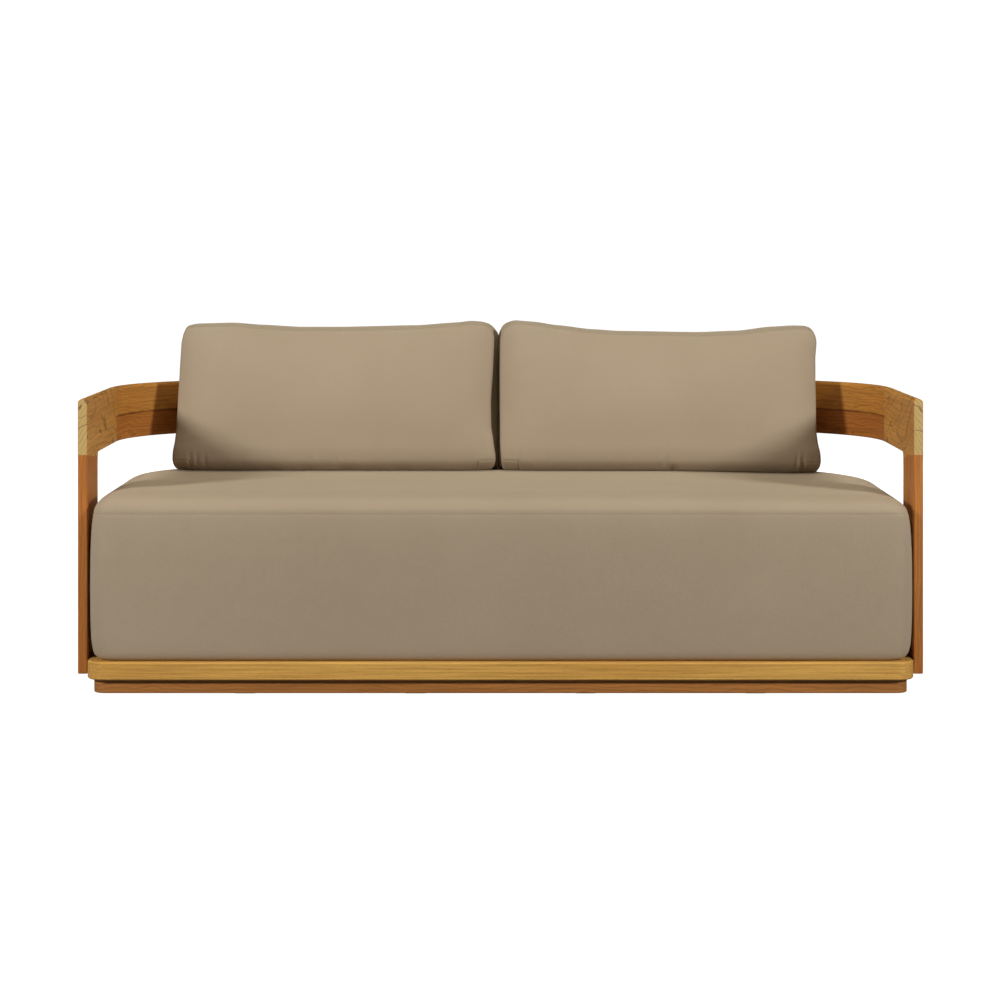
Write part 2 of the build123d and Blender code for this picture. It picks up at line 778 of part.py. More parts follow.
def rear_limit(x):
    """Rear of the cushion at its low seam, where it leans on the inside of the rail."""
    if x <= corner_x:
        return back_rear_y
    inner_rail_radius = rail_corner_radius - board_thickness
    return back_rear_y - inner_rail_radius + sqrt(inner_rail_radius**2 - (x - corner_x) ** 2)


def back_profile(x, inset, crown_share, lift_share):
    """One side profile of a back cushion: flat below, leaning, crowned back and front."""
    front = back_front_y + inset
    rear = rear_limit(x) - inset
    low = back_base + inset
    top = back_seam_top + lift_share * back_corner_lift - inset
    half_up = (back_seam_low + top) / 2
    crown = crown_share * back_crown
    top_crown = (1 + crown_share) / 2 * back_top_crown
    with BuildSketch(Plane.YZ.offset(x)) as profile:
        with BuildLine():
            Line((front + back_undercut, low), (front, back_seam_low))
            ThreePointArc(
                (front, back_seam_low),
                (front + back_lean / 2 - crown, half_up),
                (front + back_lean, top),
            )
            ThreePointArc(
                (front + back_lean, top),
                ((front + rear) / 2 + back_lean, top + top_crown),
                (rear + back_lean, top),
            )
            ThreePointArc(
                (rear + back_lean, top),
                (rear + back_lean / 2 + crown, half_up),
                (rear, back_seam_low),
            )
            Line((rear, back_seam_low), (rear - back_undercut, low))
            Line((rear - back_undercut, low), (front + back_undercut, low))
        make_face()
    return profile.sketch


def back_foam_block(clearance, mode):
    """Plain leaning block inside a back cushion, cut slantwise where the rail curves."""
    inset = back_end_draw + cover_thickness - clearance
    low = back_base + inset
    top = back_seam_top - inset
    sections = []
    for x in (back_gap / 2 + inset, corner_x, back_gap / 2 + back_width - inset):
        front = back_front_y + inset
        rear = rear_limit(x) - inset
        with BuildSketch(Plane.YZ.offset(x)) as section:
            Polygon(
                (front + back_undercut, low),
                (rear - back_undercut, low),
                (rear + back_lean, top),
                (front + back_lean, top),
                align=None,
            )
        sections.append(section.sketch)
    loft(sections, ruled=True, mode=mode)


back_zip_plane = Plane(
    origin=(
        back_gap / 2 + back_zip_share * back_width,
        back_rear_y - back_undercut / 2,
        back_base + back_low_seam / 2,
    ),
    x_dir=(1, 0, 0),
    z_dir=(0, back_low_seam, -back_undercut),
)

with BuildPart() as back_cover:
    profiles = []
    for share, draw_share, crown_share, lift_share in back_form_shares:
        x = back_gap / 2 + share * back_width
        profiles.append(back_profile(x, draw_share * back_end_draw, crown_share, lift_share))
    loft(profiles, ruled=True)
    back_foam_block(foam_clearance, Mode.SUBTRACT)
    zip_slot(back_zip_plane, back_zip_length)
save_pair(back_cover, "back_cushion_cover")

with BuildPart() as back_foam:
    back_foam_block(0, Mode.ADD)
save_pair(back_foam, "back_cushion_foam")

with BuildPart() as back_zip:
    zip_chain(back_zip_plane, back_zip_length)
save_pair(back_zip, "back_cushion_zip")

with BuildPart() as back_slider:
    zip_slider(back_zip_plane, back_zip_length)
save_pair(back_slider, "back_cushion_slider")
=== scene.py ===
# %% [markdown]
# # A patio loveseat, dressed around its frame
# The loveseat is a low slatted deck of oiled teak with a flat rail bent round it,
# one thick seat cushion and two back cushions. Its boards come ready made and stay
# where they are: this lesson gives them their wood, and makes the cushions as
# sewn, stuffed fabric. Lengths are in metres, X runs along the seat, Y to the
# back and Z up.

# %% Load the frame
import math

import bmesh
import bpy
import numpy as np
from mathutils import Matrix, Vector


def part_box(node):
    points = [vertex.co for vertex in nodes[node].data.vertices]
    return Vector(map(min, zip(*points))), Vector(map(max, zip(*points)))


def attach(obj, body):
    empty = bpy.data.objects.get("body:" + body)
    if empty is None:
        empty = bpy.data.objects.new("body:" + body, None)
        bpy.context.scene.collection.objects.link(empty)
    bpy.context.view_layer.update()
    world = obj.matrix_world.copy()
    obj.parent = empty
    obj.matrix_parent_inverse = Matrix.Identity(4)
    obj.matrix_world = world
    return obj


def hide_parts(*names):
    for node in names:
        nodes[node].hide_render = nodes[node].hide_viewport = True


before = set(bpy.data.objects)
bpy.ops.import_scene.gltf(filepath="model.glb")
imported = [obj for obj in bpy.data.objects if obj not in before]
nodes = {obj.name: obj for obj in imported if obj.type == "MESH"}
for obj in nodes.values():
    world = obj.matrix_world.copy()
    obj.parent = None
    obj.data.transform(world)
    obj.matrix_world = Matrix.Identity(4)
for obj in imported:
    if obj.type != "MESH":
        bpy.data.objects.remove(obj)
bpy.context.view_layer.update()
scene = bpy.context.scene
print("boards and fittings:", len(nodes))

# %% [markdown]
# ## Camera
# The photograph looks straight at the front from a little over a metre up. Its
# camera is level, because the posts stay upright in the picture, so the picture
# is lowered by shifting the lens and not by tilting it.

# %% Camera
def placed(name, data):
    """A new object with this data, in the scene."""
    made = bpy.data.objects.new(name, data)
    scene.collection.objects.link(made)
    return made


EYE_HEIGHT = 1.031
EYE_DISTANCE = 5.976
LENS = 90.0
SENSOR = 36.0
DROP = -0.268
ASIDE = -0.0005

lens = bpy.data.cameras.new("camera")
lens.lens = LENS
lens.sensor_width = SENSOR
lens.shift_x = ASIDE
lens.shift_y = DROP
camera = placed("camera", lens)
camera.location = (0, -EYE_DISTANCE, EYE_HEIGHT)
camera.rotation_euler = (math.radians(90), 0, 0)
scene.camera = camera
print("camera", tuple(round(c, 3) for c in camera.location))

# %% [markdown]
# ## Helpers for node trees
# Every finish below is a small tree of shader nodes. These helpers add one node
# with its values and link it in one line, so that a recipe reads from top to
# bottom. Soft noise seldom leaves its middle band, so that band gets stretched.


# %% Helpers for node trees
NOISE_BAND = (0.3, 0.7)


class Tree:
    """Adds nodes to one node tree and links them by name."""

    def __init__(self, tree):
        self.tree = tree

    def add(self, kind, values=None, **settings):
        """A new node: settings are its properties, and values go into its sockets."""
        node = self.tree.nodes.new("ShaderNode" + kind)
        for name, value in settings.items():
            setattr(node, name, value)
        self.fill(node, values or {})
        return node

    def put(self, value, socket):
        """Links an output to a socket, or writes a plain value into it."""
        if isinstance(value, bpy.types.NodeSocket):
            self.tree.links.new(value, socket)
        else:
            socket.default_value = value

    def fill(self, node, values):
        """Puts a link or a plain value into each socket, by its name or number."""
        for name, value in values.items():
            self.put(value, node.inputs[name])

    def math(self, operation, first, second=0.0, third=0.0):
        """One step of arithmetic on numbers."""
        return self.add("Math", {0: first, 1: second, 2: third}, operation=operation).outputs[0]

    def times(self, first, second):
        """The product of two numbers."""
        return self.math("MULTIPLY", first, second)

    def vector(self, operation, first, second=(0, 0, 0)):
        """One step of arithmetic on vectors."""
        return self.add("VectorMath", {0: first, 1: second}, operation=operation).outputs[0]

    def mix(self, share, first, second, blend="MIX"):
        """Mixes two colours by a share."""
        return self.add("Mix", {0: share, 6: first, 7: second}, data_type="RGBA", blend_type=blend).outputs[2]

    def noise(self, place, scale, detail=2.0, roughness=0.5, distortion=0.0):
        """Soft noise between 0 and 1."""
        values = {"Vector": place, "Scale": scale, "Detail": detail, "Roughness": roughness}
        return self.add("TexNoise", {**values, "Distortion": distortion}).outputs["Fac"]

    def spread(self, value, low, high, to_low=0.0, to_high=1.0):
        """Stretches a range of values over another one, and clamps it there."""
        values = {"Value": value, "From Min": low, "From Max": high, "To Min": to_low, "To Max": to_high}
        return self.add("MapRange", values).outputs["Result"]

    def bump(self, shader, height, strength, distance):
        """Lets a height tilt the shader's normal."""
        made = self.add("Bump", {"Height": height, "Strength": strength, "Distance": distance})
        self.put(made.outputs["Normal"], shader.inputs["Normal"])


def node_group(name, inputs, outputs):
    """An empty shader node group with named sockets, ready to be filled."""
    group = bpy.data.node_groups.new(name, "ShaderNodeTree")
    for socket, kind, value in inputs:
        made = group.interface.new_socket(socket, in_out="INPUT", socket_type="NodeSocket" + kind)
        if value is not None:
            made.default_value = value
    for socket, kind in outputs:
        group.interface.new_socket(socket, in_out="OUTPUT", socket_type="NodeSocket" + kind)
    tree = Tree(group)
    return tree, group.nodes.new("NodeGroupInput").outputs, group.nodes.new("NodeGroupOutput").inputs


def dressed(name):
    """A new material with its tree and its Principled shader."""
    material = bpy.data.materials.new(name)
    material.use_nodes = True
    tree = Tree(material.node_tree)
    return material, tree, material.node_tree.nodes["Principled BSDF"]


print("node helpers ready")

# %% [markdown]
# ## Floor and surround
# The photograph shows the loveseat cut out on pure white, but with dark undersides,
# so a truly white floor would throw back too much light. The floor and the surround
# are dull instead, and glow white for the camera alone.

# %% Floor and surround
FLOOR_SIZE = 4000.0
FLOOR_GREY = 0.13
FLOOR_GLOW = 1.05
SURROUND = 0.018
BACKGROUND = 1.15


def seen_white(tree, shaded, output, glow):
    """Adds a white glow that only the camera sees to the shader that an output gets."""
    amount = tree.times(tree.add("LightPath").outputs["Is Camera Ray"], glow)
    light = tree.add("Emission", {"Strength": amount})
    both = tree.add("AddShader", {0: shaded, 1: light.outputs["Emission"]})
    tree.put(both.outputs["Shader"], tree.tree.nodes[output].inputs["Surface"])


floor_mesh = bpy.data.meshes.new("floor")
half = FLOOR_SIZE / 2
floor_mesh.from_pydata([(-half, -half, 0), (half, -half, 0), (half, half, 0), (-half, half, 0)], [], [(0, 1, 2, 3)])
floor = placed("floor", floor_mesh)
floor_paint, floor_tree, matte = dressed("floor")
floor_tree.fill(matte, {"Base Color": (FLOOR_GREY, FLOOR_GREY, FLOOR_GREY, 1), "Roughness": 1.0})
seen_white(floor_tree, matte.outputs["BSDF"], "Material Output", FLOOR_GLOW)
floor_mesh.materials.append(floor_paint)

world = bpy.data.worlds.new("surround")
world.use_nodes = True
scene.world = world
sky = Tree(world.node_tree)
surround = world.node_tree.nodes["Background"]
sky.fill(surround, {"Color": (1, 1, 1, 1), "Strength": SURROUND})
seen_white(sky, surround.outputs["Background"], "World Output", BACKGROUND - SURROUND)
print("floor and surround:", floor.name, world.name)

# %% [markdown]
# ## Lamps
# A sun lamp would cut hard shadows, so the lamps are soft squares, as in a studio:
# one on either side in front, each of which throws the back cushions' shadow on the
# far end of the rail, and a wide one overhead for the seat. Two low lamps behind
# show the back. They stay out of reflections, or they would put bright specks on
# the front's edges.

# %% Lamps
SIDE_LAMP = (3.75, -3.15, 2.25)
SIDE_AIM = (0, 0, 0.45)
SIDE_SIZE = 0.7
SIDE_POWER = 156
TOP_LAMP = (0.0, -0.3, 4.2)
TOP_AIM = (0, -0.1, 0.4)
TOP_SIZE = 2.2
TOP_POWER = 58
LAMP_TINT = (1.0, 0.985, 0.93)
TOP_TINT = (1.0, 0.97, 0.80)
REAR_LAMP = (2.1, 5.2, 1.25)
REAR_AIM = (0, 0, 0.4)
REAR_SIZE = 1.6
REAR_POWER = 100


def lamp(name, place, aim, size, power, tint):
    """One square soft lamp that looks at a point."""
    light = bpy.data.lights.new(name, "AREA")
    light.size = size
    light.energy = power
    light.color = tint
    holder = placed(name, light)
    holder.location = place
    holder.rotation_euler = (Vector(aim) - Vector(place)).to_track_quat("-Z", "Y").to_euler()
    return holder


for side, name in ((1, "right lamp"), (-1, "left lamp")):
    place = (side * SIDE_LAMP[0], SIDE_LAMP[1], SIDE_LAMP[2])
    lamp(name, place, SIDE_AIM, SIDE_SIZE, SIDE_POWER, LAMP_TINT)
    place = (side * REAR_LAMP[0], REAR_LAMP[1], REAR_LAMP[2])
    rear = lamp(f"rear {name}", place, REAR_AIM, REAR_SIZE, REAR_POWER, LAMP_TINT)
    rear.visible_glossy = False
lamp("top lamp", TOP_LAMP, TOP_AIM, TOP_SIZE, TOP_POWER, TOP_TINT)
scene.view_settings.view_transform = "Standard"

# %% [markdown]
# ## Teak
# Oiled teak is honey brown, with darker growth lines along the board, fine pores as
# short dark dashes, and slow drifts of tone. A picture of wood would show the same
# lines on every side, so the wood is worked out in the solid: rings around a far-off
# heart, bent a little by noise, and cut wherever the board's surface happens to be.

# %% Teak as a node group
SEED_STEPS = (3.17, 0.013, 0.021)
HEART = (0.0, 0.035, -0.05)

teak, given, result = node_group(
    "teak",
    [
        ("Along", "Vector", None), ("Facing", "Vector", None), ("Seed", "Float", 0.0), ("Tone", "Float", 0.0),
        ("Figure", "Float", 0.3), ("End", "Float", 0.0), ("Cast", "Color", (1, 1, 1, 1)), ("Glue", "Float", -9.0),
    ],
    [("Color", "Color"), ("Roughness", "Float"), ("Height", "Float")],
)
seed_shift = {axis: teak.times(given["Seed"], step) for axis, step in zip("XYZ", SEED_STEPS)}
place = teak.vector("ADD", given["Along"], teak.add("CombineXYZ", seed_shift).outputs[0])
slow = teak.noise(teak.vector("MULTIPLY", place, (1.0, 8.0, 8.0)), 1.4, 2.0)
bend = teak.noise(teak.vector("MULTIPLY", place, (2.4, 9.0, 9.0)), 2.2, 3.0, 0.55)
from_heart = teak.add("SeparateXYZ", {"Vector": teak.vector("SUBTRACT", place, HEART)})
squares = [teak.math("POWER", teak.math("ABSOLUTE", from_heart.outputs[axis]), 2.0) for axis in "YZ"]
radius = teak.math("SQRT", teak.math("ADD", *squares))
print("teak knows its place in the log:", len(teak.tree.nodes), "nodes")

# %% Growth lines, streaks and pores
RING_WIDTH = 0.0085
RING_BEND = 0.02
FIGURE_BEND = 0.11
LATE_WOOD = (0.62, 0.97)
LINE_END = (1.0, 0.96)
STREAKS = (0.38, 0.72)
PORES = (0.62, 0.74)

pull = teak.math("MULTIPLY_ADD", given["Figure"], FIGURE_BEND, RING_BEND)
bent = teak.math("ADD", radius, teak.times(teak.math("SUBTRACT", bend, 0.5), pull))
saw = teak.math("FRACT", teak.math("DIVIDE", bent, RING_WIDTH))
line = teak.times(teak.spread(saw, *LATE_WOOD), teak.spread(saw, *LINE_END))
streak = teak.noise(teak.vector("MULTIPLY", place, (1.0, 40.0, 40.0)), 6.0, 3.0, 0.6)
pores = teak.noise(teak.vector("MULTIPLY", place, (1.0, 16.0, 16.0)), 70.0, 1.0)
pore = teak.spread(pores, *PORES)
print("lines, streaks and pores:", len(teak.tree.nodes), "nodes")

# %% Teak's colours along the grain
TEAK_PALE = (0.74, 0.305, 0.066, 1)
TEAK_HONEY = (0.56, 0.195, 0.036, 1)
TEAK_DARK = (0.17, 0.045, 0.008, 1)
TONE_DRIFT = 0.9
TO_PALE = (0.0, 0.6)
TO_DARK = (-0.9, 0.0, 0.75, 0.0)
LINE_DARK = 0.28
FIGURE_DARK = 0.55
STREAK_DARK = 0.42
PORE_DARK = 0.35

tone = teak.math("ADD", teak.times(teak.math("SUBTRACT", slow, 0.5), TONE_DRIFT), given["Tone"])
light = teak.mix(teak.spread(tone, *TO_PALE), TEAK_HONEY, TEAK_PALE)
ground = teak.mix(teak.spread(tone, *TO_DARK), light, TEAK_DARK)
line_dark = teak.times(line, teak.math("MULTIPLY_ADD", given["Figure"], FIGURE_DARK, LINE_DARK))
lined = teak.mix(line_dark, ground, TEAK_DARK)
streaked = teak.mix(teak.spread(streak, *STREAKS, 0.0, STREAK_DARK), lined, TEAK_DARK)
pored = teak.mix(teak.times(pore, PORE_DARK), streaked, TEAK_DARK)
print("colours along the grain:", len(teak.tree.nodes), "nodes")

# %% [markdown]
# ## Teak: end grain, figure and glue
# The arm blocks have paler ends and long flame-like lines. Rings alone can't make
# that figure, so it is drawn like the contours of a map: a slow, leaning noise is
# cut into even steps, and each step's edge becomes a dark line. The rail's stacked
# boards show a thin glue line, which wanders because no joint closes evenly.

# %% End grain, figure and glue
TEAK_END = (0.60, 0.415, 0.155, 1)
END_FACING = (0.75, 0.95)
END_LINE_DARK = 0.35
FLAME_LEAN = 0.35
FLAME_STRETCH = (2.6, 7.0, 12.0)
FLAME_STEPS = 7.0
FLAME_EDGE = (0.02, 0.13)
FLAME_DARK = 0.8
FLAME_END_DARK = 0.75
GLUE_WANDER = 0.012
GLUE_LINE = (0.001, 0.0042)
GLUE_DARK = 0.9

end_on = teak.add("SeparateXYZ", {"Vector": given["Facing"]}).outputs["X"]
end_mask = teak.times(teak.spread(teak.math("ABSOLUTE", end_on), *END_FACING), given["End"])
end_grain = teak.mix(teak.times(line, END_LINE_DARK), TEAK_END, TEAK_DARK)
lean = teak.add("SeparateXYZ", {"Vector": place})
rise = teak.math("MULTIPLY_ADD", lean.outputs["X"], FLAME_LEAN, lean.outputs["Z"])
leaning = teak.add("CombineXYZ", {"X": lean.outputs["X"], "Y": lean.outputs["Y"], "Z": rise}).outputs[0]
swirl = teak.noise(teak.vector("MULTIPLY", leaning, FLAME_STRETCH), 1.0, 2.2, 0.45, 0.35)
edge = teak.spread(teak.math("FRACT", teak.times(swirl, FLAME_STEPS)), *FLAME_EDGE, 1.0, 0.0)
contour = teak.times(edge, given["End"])
figured = teak.mix(teak.times(contour, FLAME_DARK), pored, TEAK_DARK)
ending = teak.mix(teak.times(contour, FLAME_END_DARK), end_grain, TEAK_DARK)
off_glue = teak.math("ABSOLUTE", teak.math("SUBTRACT", lean.outputs["Z"], given["Glue"]))
wander = teak.times(teak.math("SUBTRACT", teak.noise(place, 9.0, 2.0), 0.5), GLUE_WANDER)
glue = teak.math("ADD", off_glue, teak.math("ABSOLUTE", wander))
glued = teak.mix(teak.spread(glue, *GLUE_LINE, GLUE_DARK, 0.0), figured, TEAK_DARK)
print("end grain, figure and glue:", len(teak.tree.nodes), "nodes")

# %% What the teak group puts out
TEAK_ROUGHNESS = (0.38, 0.5)
PORE_ROUGHNESS = 0.18
STREAK_RISE = 0.35
PORE_SINK = 0.8
LINE_SINK = 0.25

cast = teak.mix(1.0, glued, given["Cast"], "MULTIPLY")
teak.put(teak.mix(end_mask, cast, ending), result["Color"])
rough = teak.spread(slow, *NOISE_BAND, *TEAK_ROUGHNESS)
teak.put(teak.math("MULTIPLY_ADD", pore, PORE_ROUGHNESS, rough), result["Roughness"])
height = teak.math("SUBTRACT", teak.times(streak, STREAK_RISE), teak.times(pore, PORE_SINK))
teak.put(teak.math("SUBTRACT", height, teak.times(line, LINE_SINK)), result["Height"])
print("teak group has", len(teak.tree.nodes), "nodes")

# %% [markdown]
# ## Which way each board runs
# A sawyer lays the grain along a board. So each board gets its own copy of the
# material, told which direction is "along", and where in the log it was cut.
# The curved corner boards follow the curve: there "along" is the length of arc.

# %% Which way is along
corner_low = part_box("rail_corner_upper_right")[0]
glue_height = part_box("rail_corner_lower_right")[1].z
rail_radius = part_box("rail_corner_upper_right")[1].x - corner_low.x


def turned(tree, source, along):
    """Swaps axes so that the board's length lies along X."""
    parts = tree.add("SeparateXYZ", {"Vector": source}).outputs
    order = {"x": "XYZ", "y": "YXZ", "z": "ZYX"}[along]
    values = {axis: parts[name] for axis, name in zip("XYZ", order)}
    return tree.add("CombineXYZ", values).outputs[0]


def bent_round(tree, source):
    """Unrolls the rail's rear corner: X is arc length, Y is distance from its middle."""
    parts = tree.add("SeparateXYZ", {"Vector": source}).outputs
    out = tree.math("SUBTRACT", tree.math("ABSOLUTE", parts["X"]), corner_low.x)
    back = tree.math("SUBTRACT", parts["Y"], corner_low.y)
    arc = tree.times(tree.math("ARCTAN2", out, back), rail_radius)
    reach = tree.math("SQRT", tree.math("ADD", tree.times(out, out), tree.times(back, back)))
    return tree.add("CombineXYZ", {"X": arc, "Y": reach, "Z": parts["Z"]}).outputs[0]


print("rail corner turns at", round(rail_radius, 3), "and is glued at", round(glue_height, 3))

# %% One board's material
GRAIN_BUMP = 0.35
GRAIN_DEPTH = 0.0006


def teak_board(name, seed, along, tone, figure, cast):
    """Oiled teak for one board, with its grain running the board's own way."""
    material, tree, shader = dressed(f"teak_{name}")
    where = tree.add("TexCoord").outputs
    board = tree.add("Group", node_tree=teak.tree)
    if along == "arc":
        tree.put(bent_round(tree, where["Object"]), board.inputs["Along"])
    else:
        tree.put(turned(tree, where["Object"], along), board.inputs["Along"])
        tree.put(turned(tree, where["Normal"], along), board.inputs["Facing"])
    tree.fill(board, {"Seed": seed, "Tone": tone, "Figure": figure, "Cast": (*cast, 1)})
    if name.startswith("arm_block"):
        tree.put(1.0, board.inputs["End"])
    if name.startswith(("rail_corner", "back_rail")):
        tree.put(glue_height + SEED_STEPS[2] * seed, board.inputs["Glue"])
    tree.fill(shader, {"Base Color": board.outputs["Color"], "Roughness": board.outputs["Roughness"]})
    tree.bump(shader, board.outputs["Height"], GRAIN_BUMP, GRAIN_DEPTH)
    return material


def give(name, material):
    """Puts one material on a whole piece of the frame."""
    mesh = nodes[name].data
    mesh.materials.clear()
    mesh.materials.append(material)


print("a board is bumped by", GRAIN_DEPTH)

# %% [markdown]
# ## A finish for every board
# Boards from one tree differ, and one material for all would look like printed
# wood. So a table gives each board the way it runs, its tone, its figure and a
# slight cast of colour.

# %% Every board's finish
POST_CAST = (1.0, 1.0, 1.0)
RAIL_CAST = (1.02, 1.2, 1.1)
RAIL_LOW_CAST = (0.96, 0.98, 0.95)
ARM_CAST = (1.12, 1.48, 1.75)
DECK_CAST = (1.2, 1.8, 2.1)
PLINTH_CAST = (0.93, 1.08, 1.3)
BOARDS = {
    "arm_block": ("y", 0.1, 0.12, ARM_CAST),
    "rail_corner_upper": ("arc", 0.05, 0.35, RAIL_CAST),
    "rail_corner_lower": ("arc", -0.1, 0.4, RAIL_LOW_CAST),
    "front_post": ("z", 0.0, 0.15, POST_CAST),
    "rear_post": ("z", -0.05, 0.25, POST_CAST),
    "deck_side": ("y", 0.1, 0.25, DECK_CAST),
    "deck_corner": ("arc", 0.15, -0.1, DECK_CAST),
    "ledger": ("y", -0.1, 0.3, PLINTH_CAST),
    "plinth_side": ("y", -0.25, 0.3, PLINTH_CAST),
    "plinth_corner": ("arc", -0.25, 0.3, PLINTH_CAST),
    "plinth_cross": ("y", -0.2, 0.3, PLINTH_CAST),
}
SINGLE_BOARDS = {
    "back_rail_upper": ("x", 0.0, 0.4, RAIL_CAST),
    "back_rail_lower": ("x", -0.1, 0.4, RAIL_LOW_CAST),
    "deck_front_board": ("x", 0.2, -0.15, DECK_CAST),
    "deck_back_board": ("x", 0.1, 0.3, DECK_CAST),
    "plinth_front": ("x", -0.25, 0.25, PLINTH_CAST),
    "plinth_back": ("x", -0.25, 0.3, PLINTH_CAST),
}
for number in range(1, 7):
    SINGLE_BOARDS[f"slat_{number}"] = ("x", -0.05 + 0.1 * (number % 3), 0.3, DECK_CAST)
for number in range(1, 5):
    SINGLE_BOARDS[f"bearer_{number}"] = ("y", -0.1, 0.3, PLINTH_CAST)
for name in ("rail_tenons", "post_tenons", "rail_seam_tenons", "plinth_tenons", "screw_plugs"):
    SINGLE_BOARDS[name] = ("x", -0.1, 0.2, POST_CAST)
every_board = [(f"{name}_{side}", finish) for name, finish in BOARDS.items() for side in ("left", "right")]
every_board += list(SINGLE_BOARDS.items())
for seed, (name, finish) in enumerate(every_board, start=1):
    give(name, teak_board(name, seed, *finish))
print("boards dressed:", len(every_board))

# %% [markdown]
# ## Fabric
# The covers are a plain matte weave in taupe. The threads are about a millimetre
# apart: too fine to model, so they are a small bump worked out on three sides and
# blended by the way the surface faces. That needs no unwrapping, and it survives
# any change of shape. Sheen gives the soft pale edge that cloth has.

# %% Weave as a node group
THREAD = 0.0011
SLUB_LONG = 60.0
SLUB_FINE = 900.0

weave, given, result = node_group(
    "weave",
    [("Place", "Vector", None), ("Facing", "Vector", None), ("Thread", "Float", THREAD)],
    [("Height", "Float"), ("Slub", "Float"), ("Cloud", "Float")],
)
wave = weave.math("DIVIDE", 2 * math.pi, given["Thread"])
parts = weave.add("SeparateXYZ", {"Vector": given["Place"]}).outputs
ripple = {axis: weave.math("SINE", weave.times(parts[axis], wave)) for axis in "XYZ"}
sides = weave.add("SeparateXYZ", {"Vector": weave.vector("ABSOLUTE", given["Facing"])}).outputs
total = 0.0
for axis, (across, up) in {"X": "YZ", "Y": "XZ", "Z": "XY"}.items():
    woven = weave.times(ripple[across], ripple[up])
    total = weave.math("ADD", total, weave.times(woven, weave.math("POWER", sides[axis], 3.0)))
weave.put(total, result["Height"])
slub = weave.noise(weave.vector("MULTIPLY", given["Place"], (SLUB_LONG, SLUB_LONG, SLUB_FINE)), 1.0, 2.0)
slub_across = weave.noise(weave.vector("MULTIPLY", given["Place"], (SLUB_FINE, SLUB_LONG, SLUB_LONG)), 1.0, 2.0)
weave.put(weave.times(weave.math("ADD", slub, slub_across), 0.5), result["Slub"])
weave.put(weave.noise(given["Place"], 3.5, 3.0, 0.6), result["Cloud"])
print("weave group has", len(weave.tree.nodes), "nodes")

# %% [markdown]
# ## The covers' material
# The tone of woven fabric drifts softly, and thick threads, called slubs, show as
# short darker dashes. Both come from the weave group as masks. The sheen is the
# same all over a cover, so it is a plain value of the shader.

# %% Cushion fabric
FABRIC = (0.412, 0.33, 0.244, 1)
FABRIC_DEEP = (0.345, 0.264, 0.186, 1)
FABRIC_SHINE = {
    "Sheen Weight": 0.14, "Sheen Roughness": 0.4, "Sheen Tint": (1.0, 0.86, 0.66, 1), "Specular IOR Level": 0.12,
}
FABRIC_ROUGHNESS = (0.95, 0.8)
DRIFT_SHARE = 0.35
SLUB_BAND = (0.35, 0.65)
SLUB_SHARE = 0.25
WEAVE_BUMP = 0.3
WEAVE_DEPTH = 0.0003


def cushion_fabric(name):
    """Taupe outdoor fabric: woven bump, slubs, soft drifts of tone and sheen."""
    material, tree, shader = dressed(name)
    where = tree.add("TexCoord").outputs
    cloth = tree.add("Group", {"Place": where["Object"], "Facing": where["Normal"]}, node_tree=weave.tree)
    drift = tree.mix(tree.spread(cloth.outputs["Cloud"], *NOISE_BAND, 0.0, DRIFT_SHARE), FABRIC, FABRIC_DEEP)
    thread = tree.mix(tree.spread(cloth.outputs["Slub"], *SLUB_BAND, 0.0, SLUB_SHARE), drift, FABRIC_DEEP)
    rough = tree.spread(cloth.outputs["Height"], -1, 1, *FABRIC_ROUGHNESS)
    tree.fill(shader, {"Base Color": thread, "Roughness": rough, **FABRIC_SHINE})
    tree.bump(shader, cloth.outputs["Height"], WEAVE_BUMP, WEAVE_DEPTH)
    return material


seat_fabric = cushion_fabric("seat_fabric")
back_fabric = cushion_fabric("back_fabric")
print("fabrics:", seat_fabric.name, back_fabric.name)

# %% [markdown]
# ## Cushions: from an outline to a stuffed form
# A boxed cushion is two panels joined by a strip. Stuffed, its sides swell and its
# corners draw in. The form is first built as a stack of outlines, then remeshed to
# an even skin, blown up a little as cloth under pressure, and only then sewn:
# a seam is a fine line, which the remesh would have wiped away.

# %% A skin over a stack of outlines
def stacked(name, rings):
    """A closed mesh through rings of points, all with the same number of points."""
    count = len(rings[0])
    points = [tuple(p) for ring in rings for p in ring]
    faces = [tuple(range(count))[::-1]]
    for level in range(len(rings) - 1):
        for n in range(count):
            after = (n + 1) % count
            low = level * count
            faces.append((low + n, low + after, low + count + after, low + count + n))
    faces.append(tuple(range(len(points) - count, len(points))))
    mesh = bpy.data.meshes.new(name)
    mesh.from_pydata(points, [], faces)
    mesh.validate()
    return placed(name, mesh)


def apply_modifiers(form):
    """Turns what the modifiers make into the mesh itself."""
    bpy.context.view_layer.update()
    made = bpy.data.meshes.new_from_object(form.evaluated_get(bpy.context.evaluated_depsgraph_get()))
    form.modifiers.clear()
    form.data = made


def remeshed(form, voxel):
    """An even skin of small faces in place of the long ones."""
    remesh = form.modifiers.new("skin", "REMESH")
    remesh.mode = "VOXEL"
    remesh.voxel_size = voxel
    apply_modifiers(form)


print("ready to stack outlines")

# %% [markdown]
# ## Stuffing
# Stuffing pushes a cover out until its weave holds it. Blender's cloth, with
# pressure inside and no gravity, does the same in a few frames, but wrinkles as it
# likes. So only each point's way outwards is kept, up to a cap, and evened with its
# neighbours.

# %% Blowing up as cloth
CLOTH_FRAMES = 20
PRESSURE = 4.0
STIFFNESS = 25
BENDING = 2
EVENING_ROUNDS = 30


def triples(source, name):
    """Three numbers for each item of a mesh's list, as one array."""
    flat = np.empty(len(source) * 3)
    source.foreach_get(name, flat)
    return flat.reshape(-1, 3)


def coordinates(mesh):
    """All points of a mesh."""
    return triples(mesh.vertices, "co")


def set_coordinates(mesh, points):
    """Writes all points of a mesh back."""
    mesh.vertices.foreach_set("co", points.ravel())
    mesh.update()


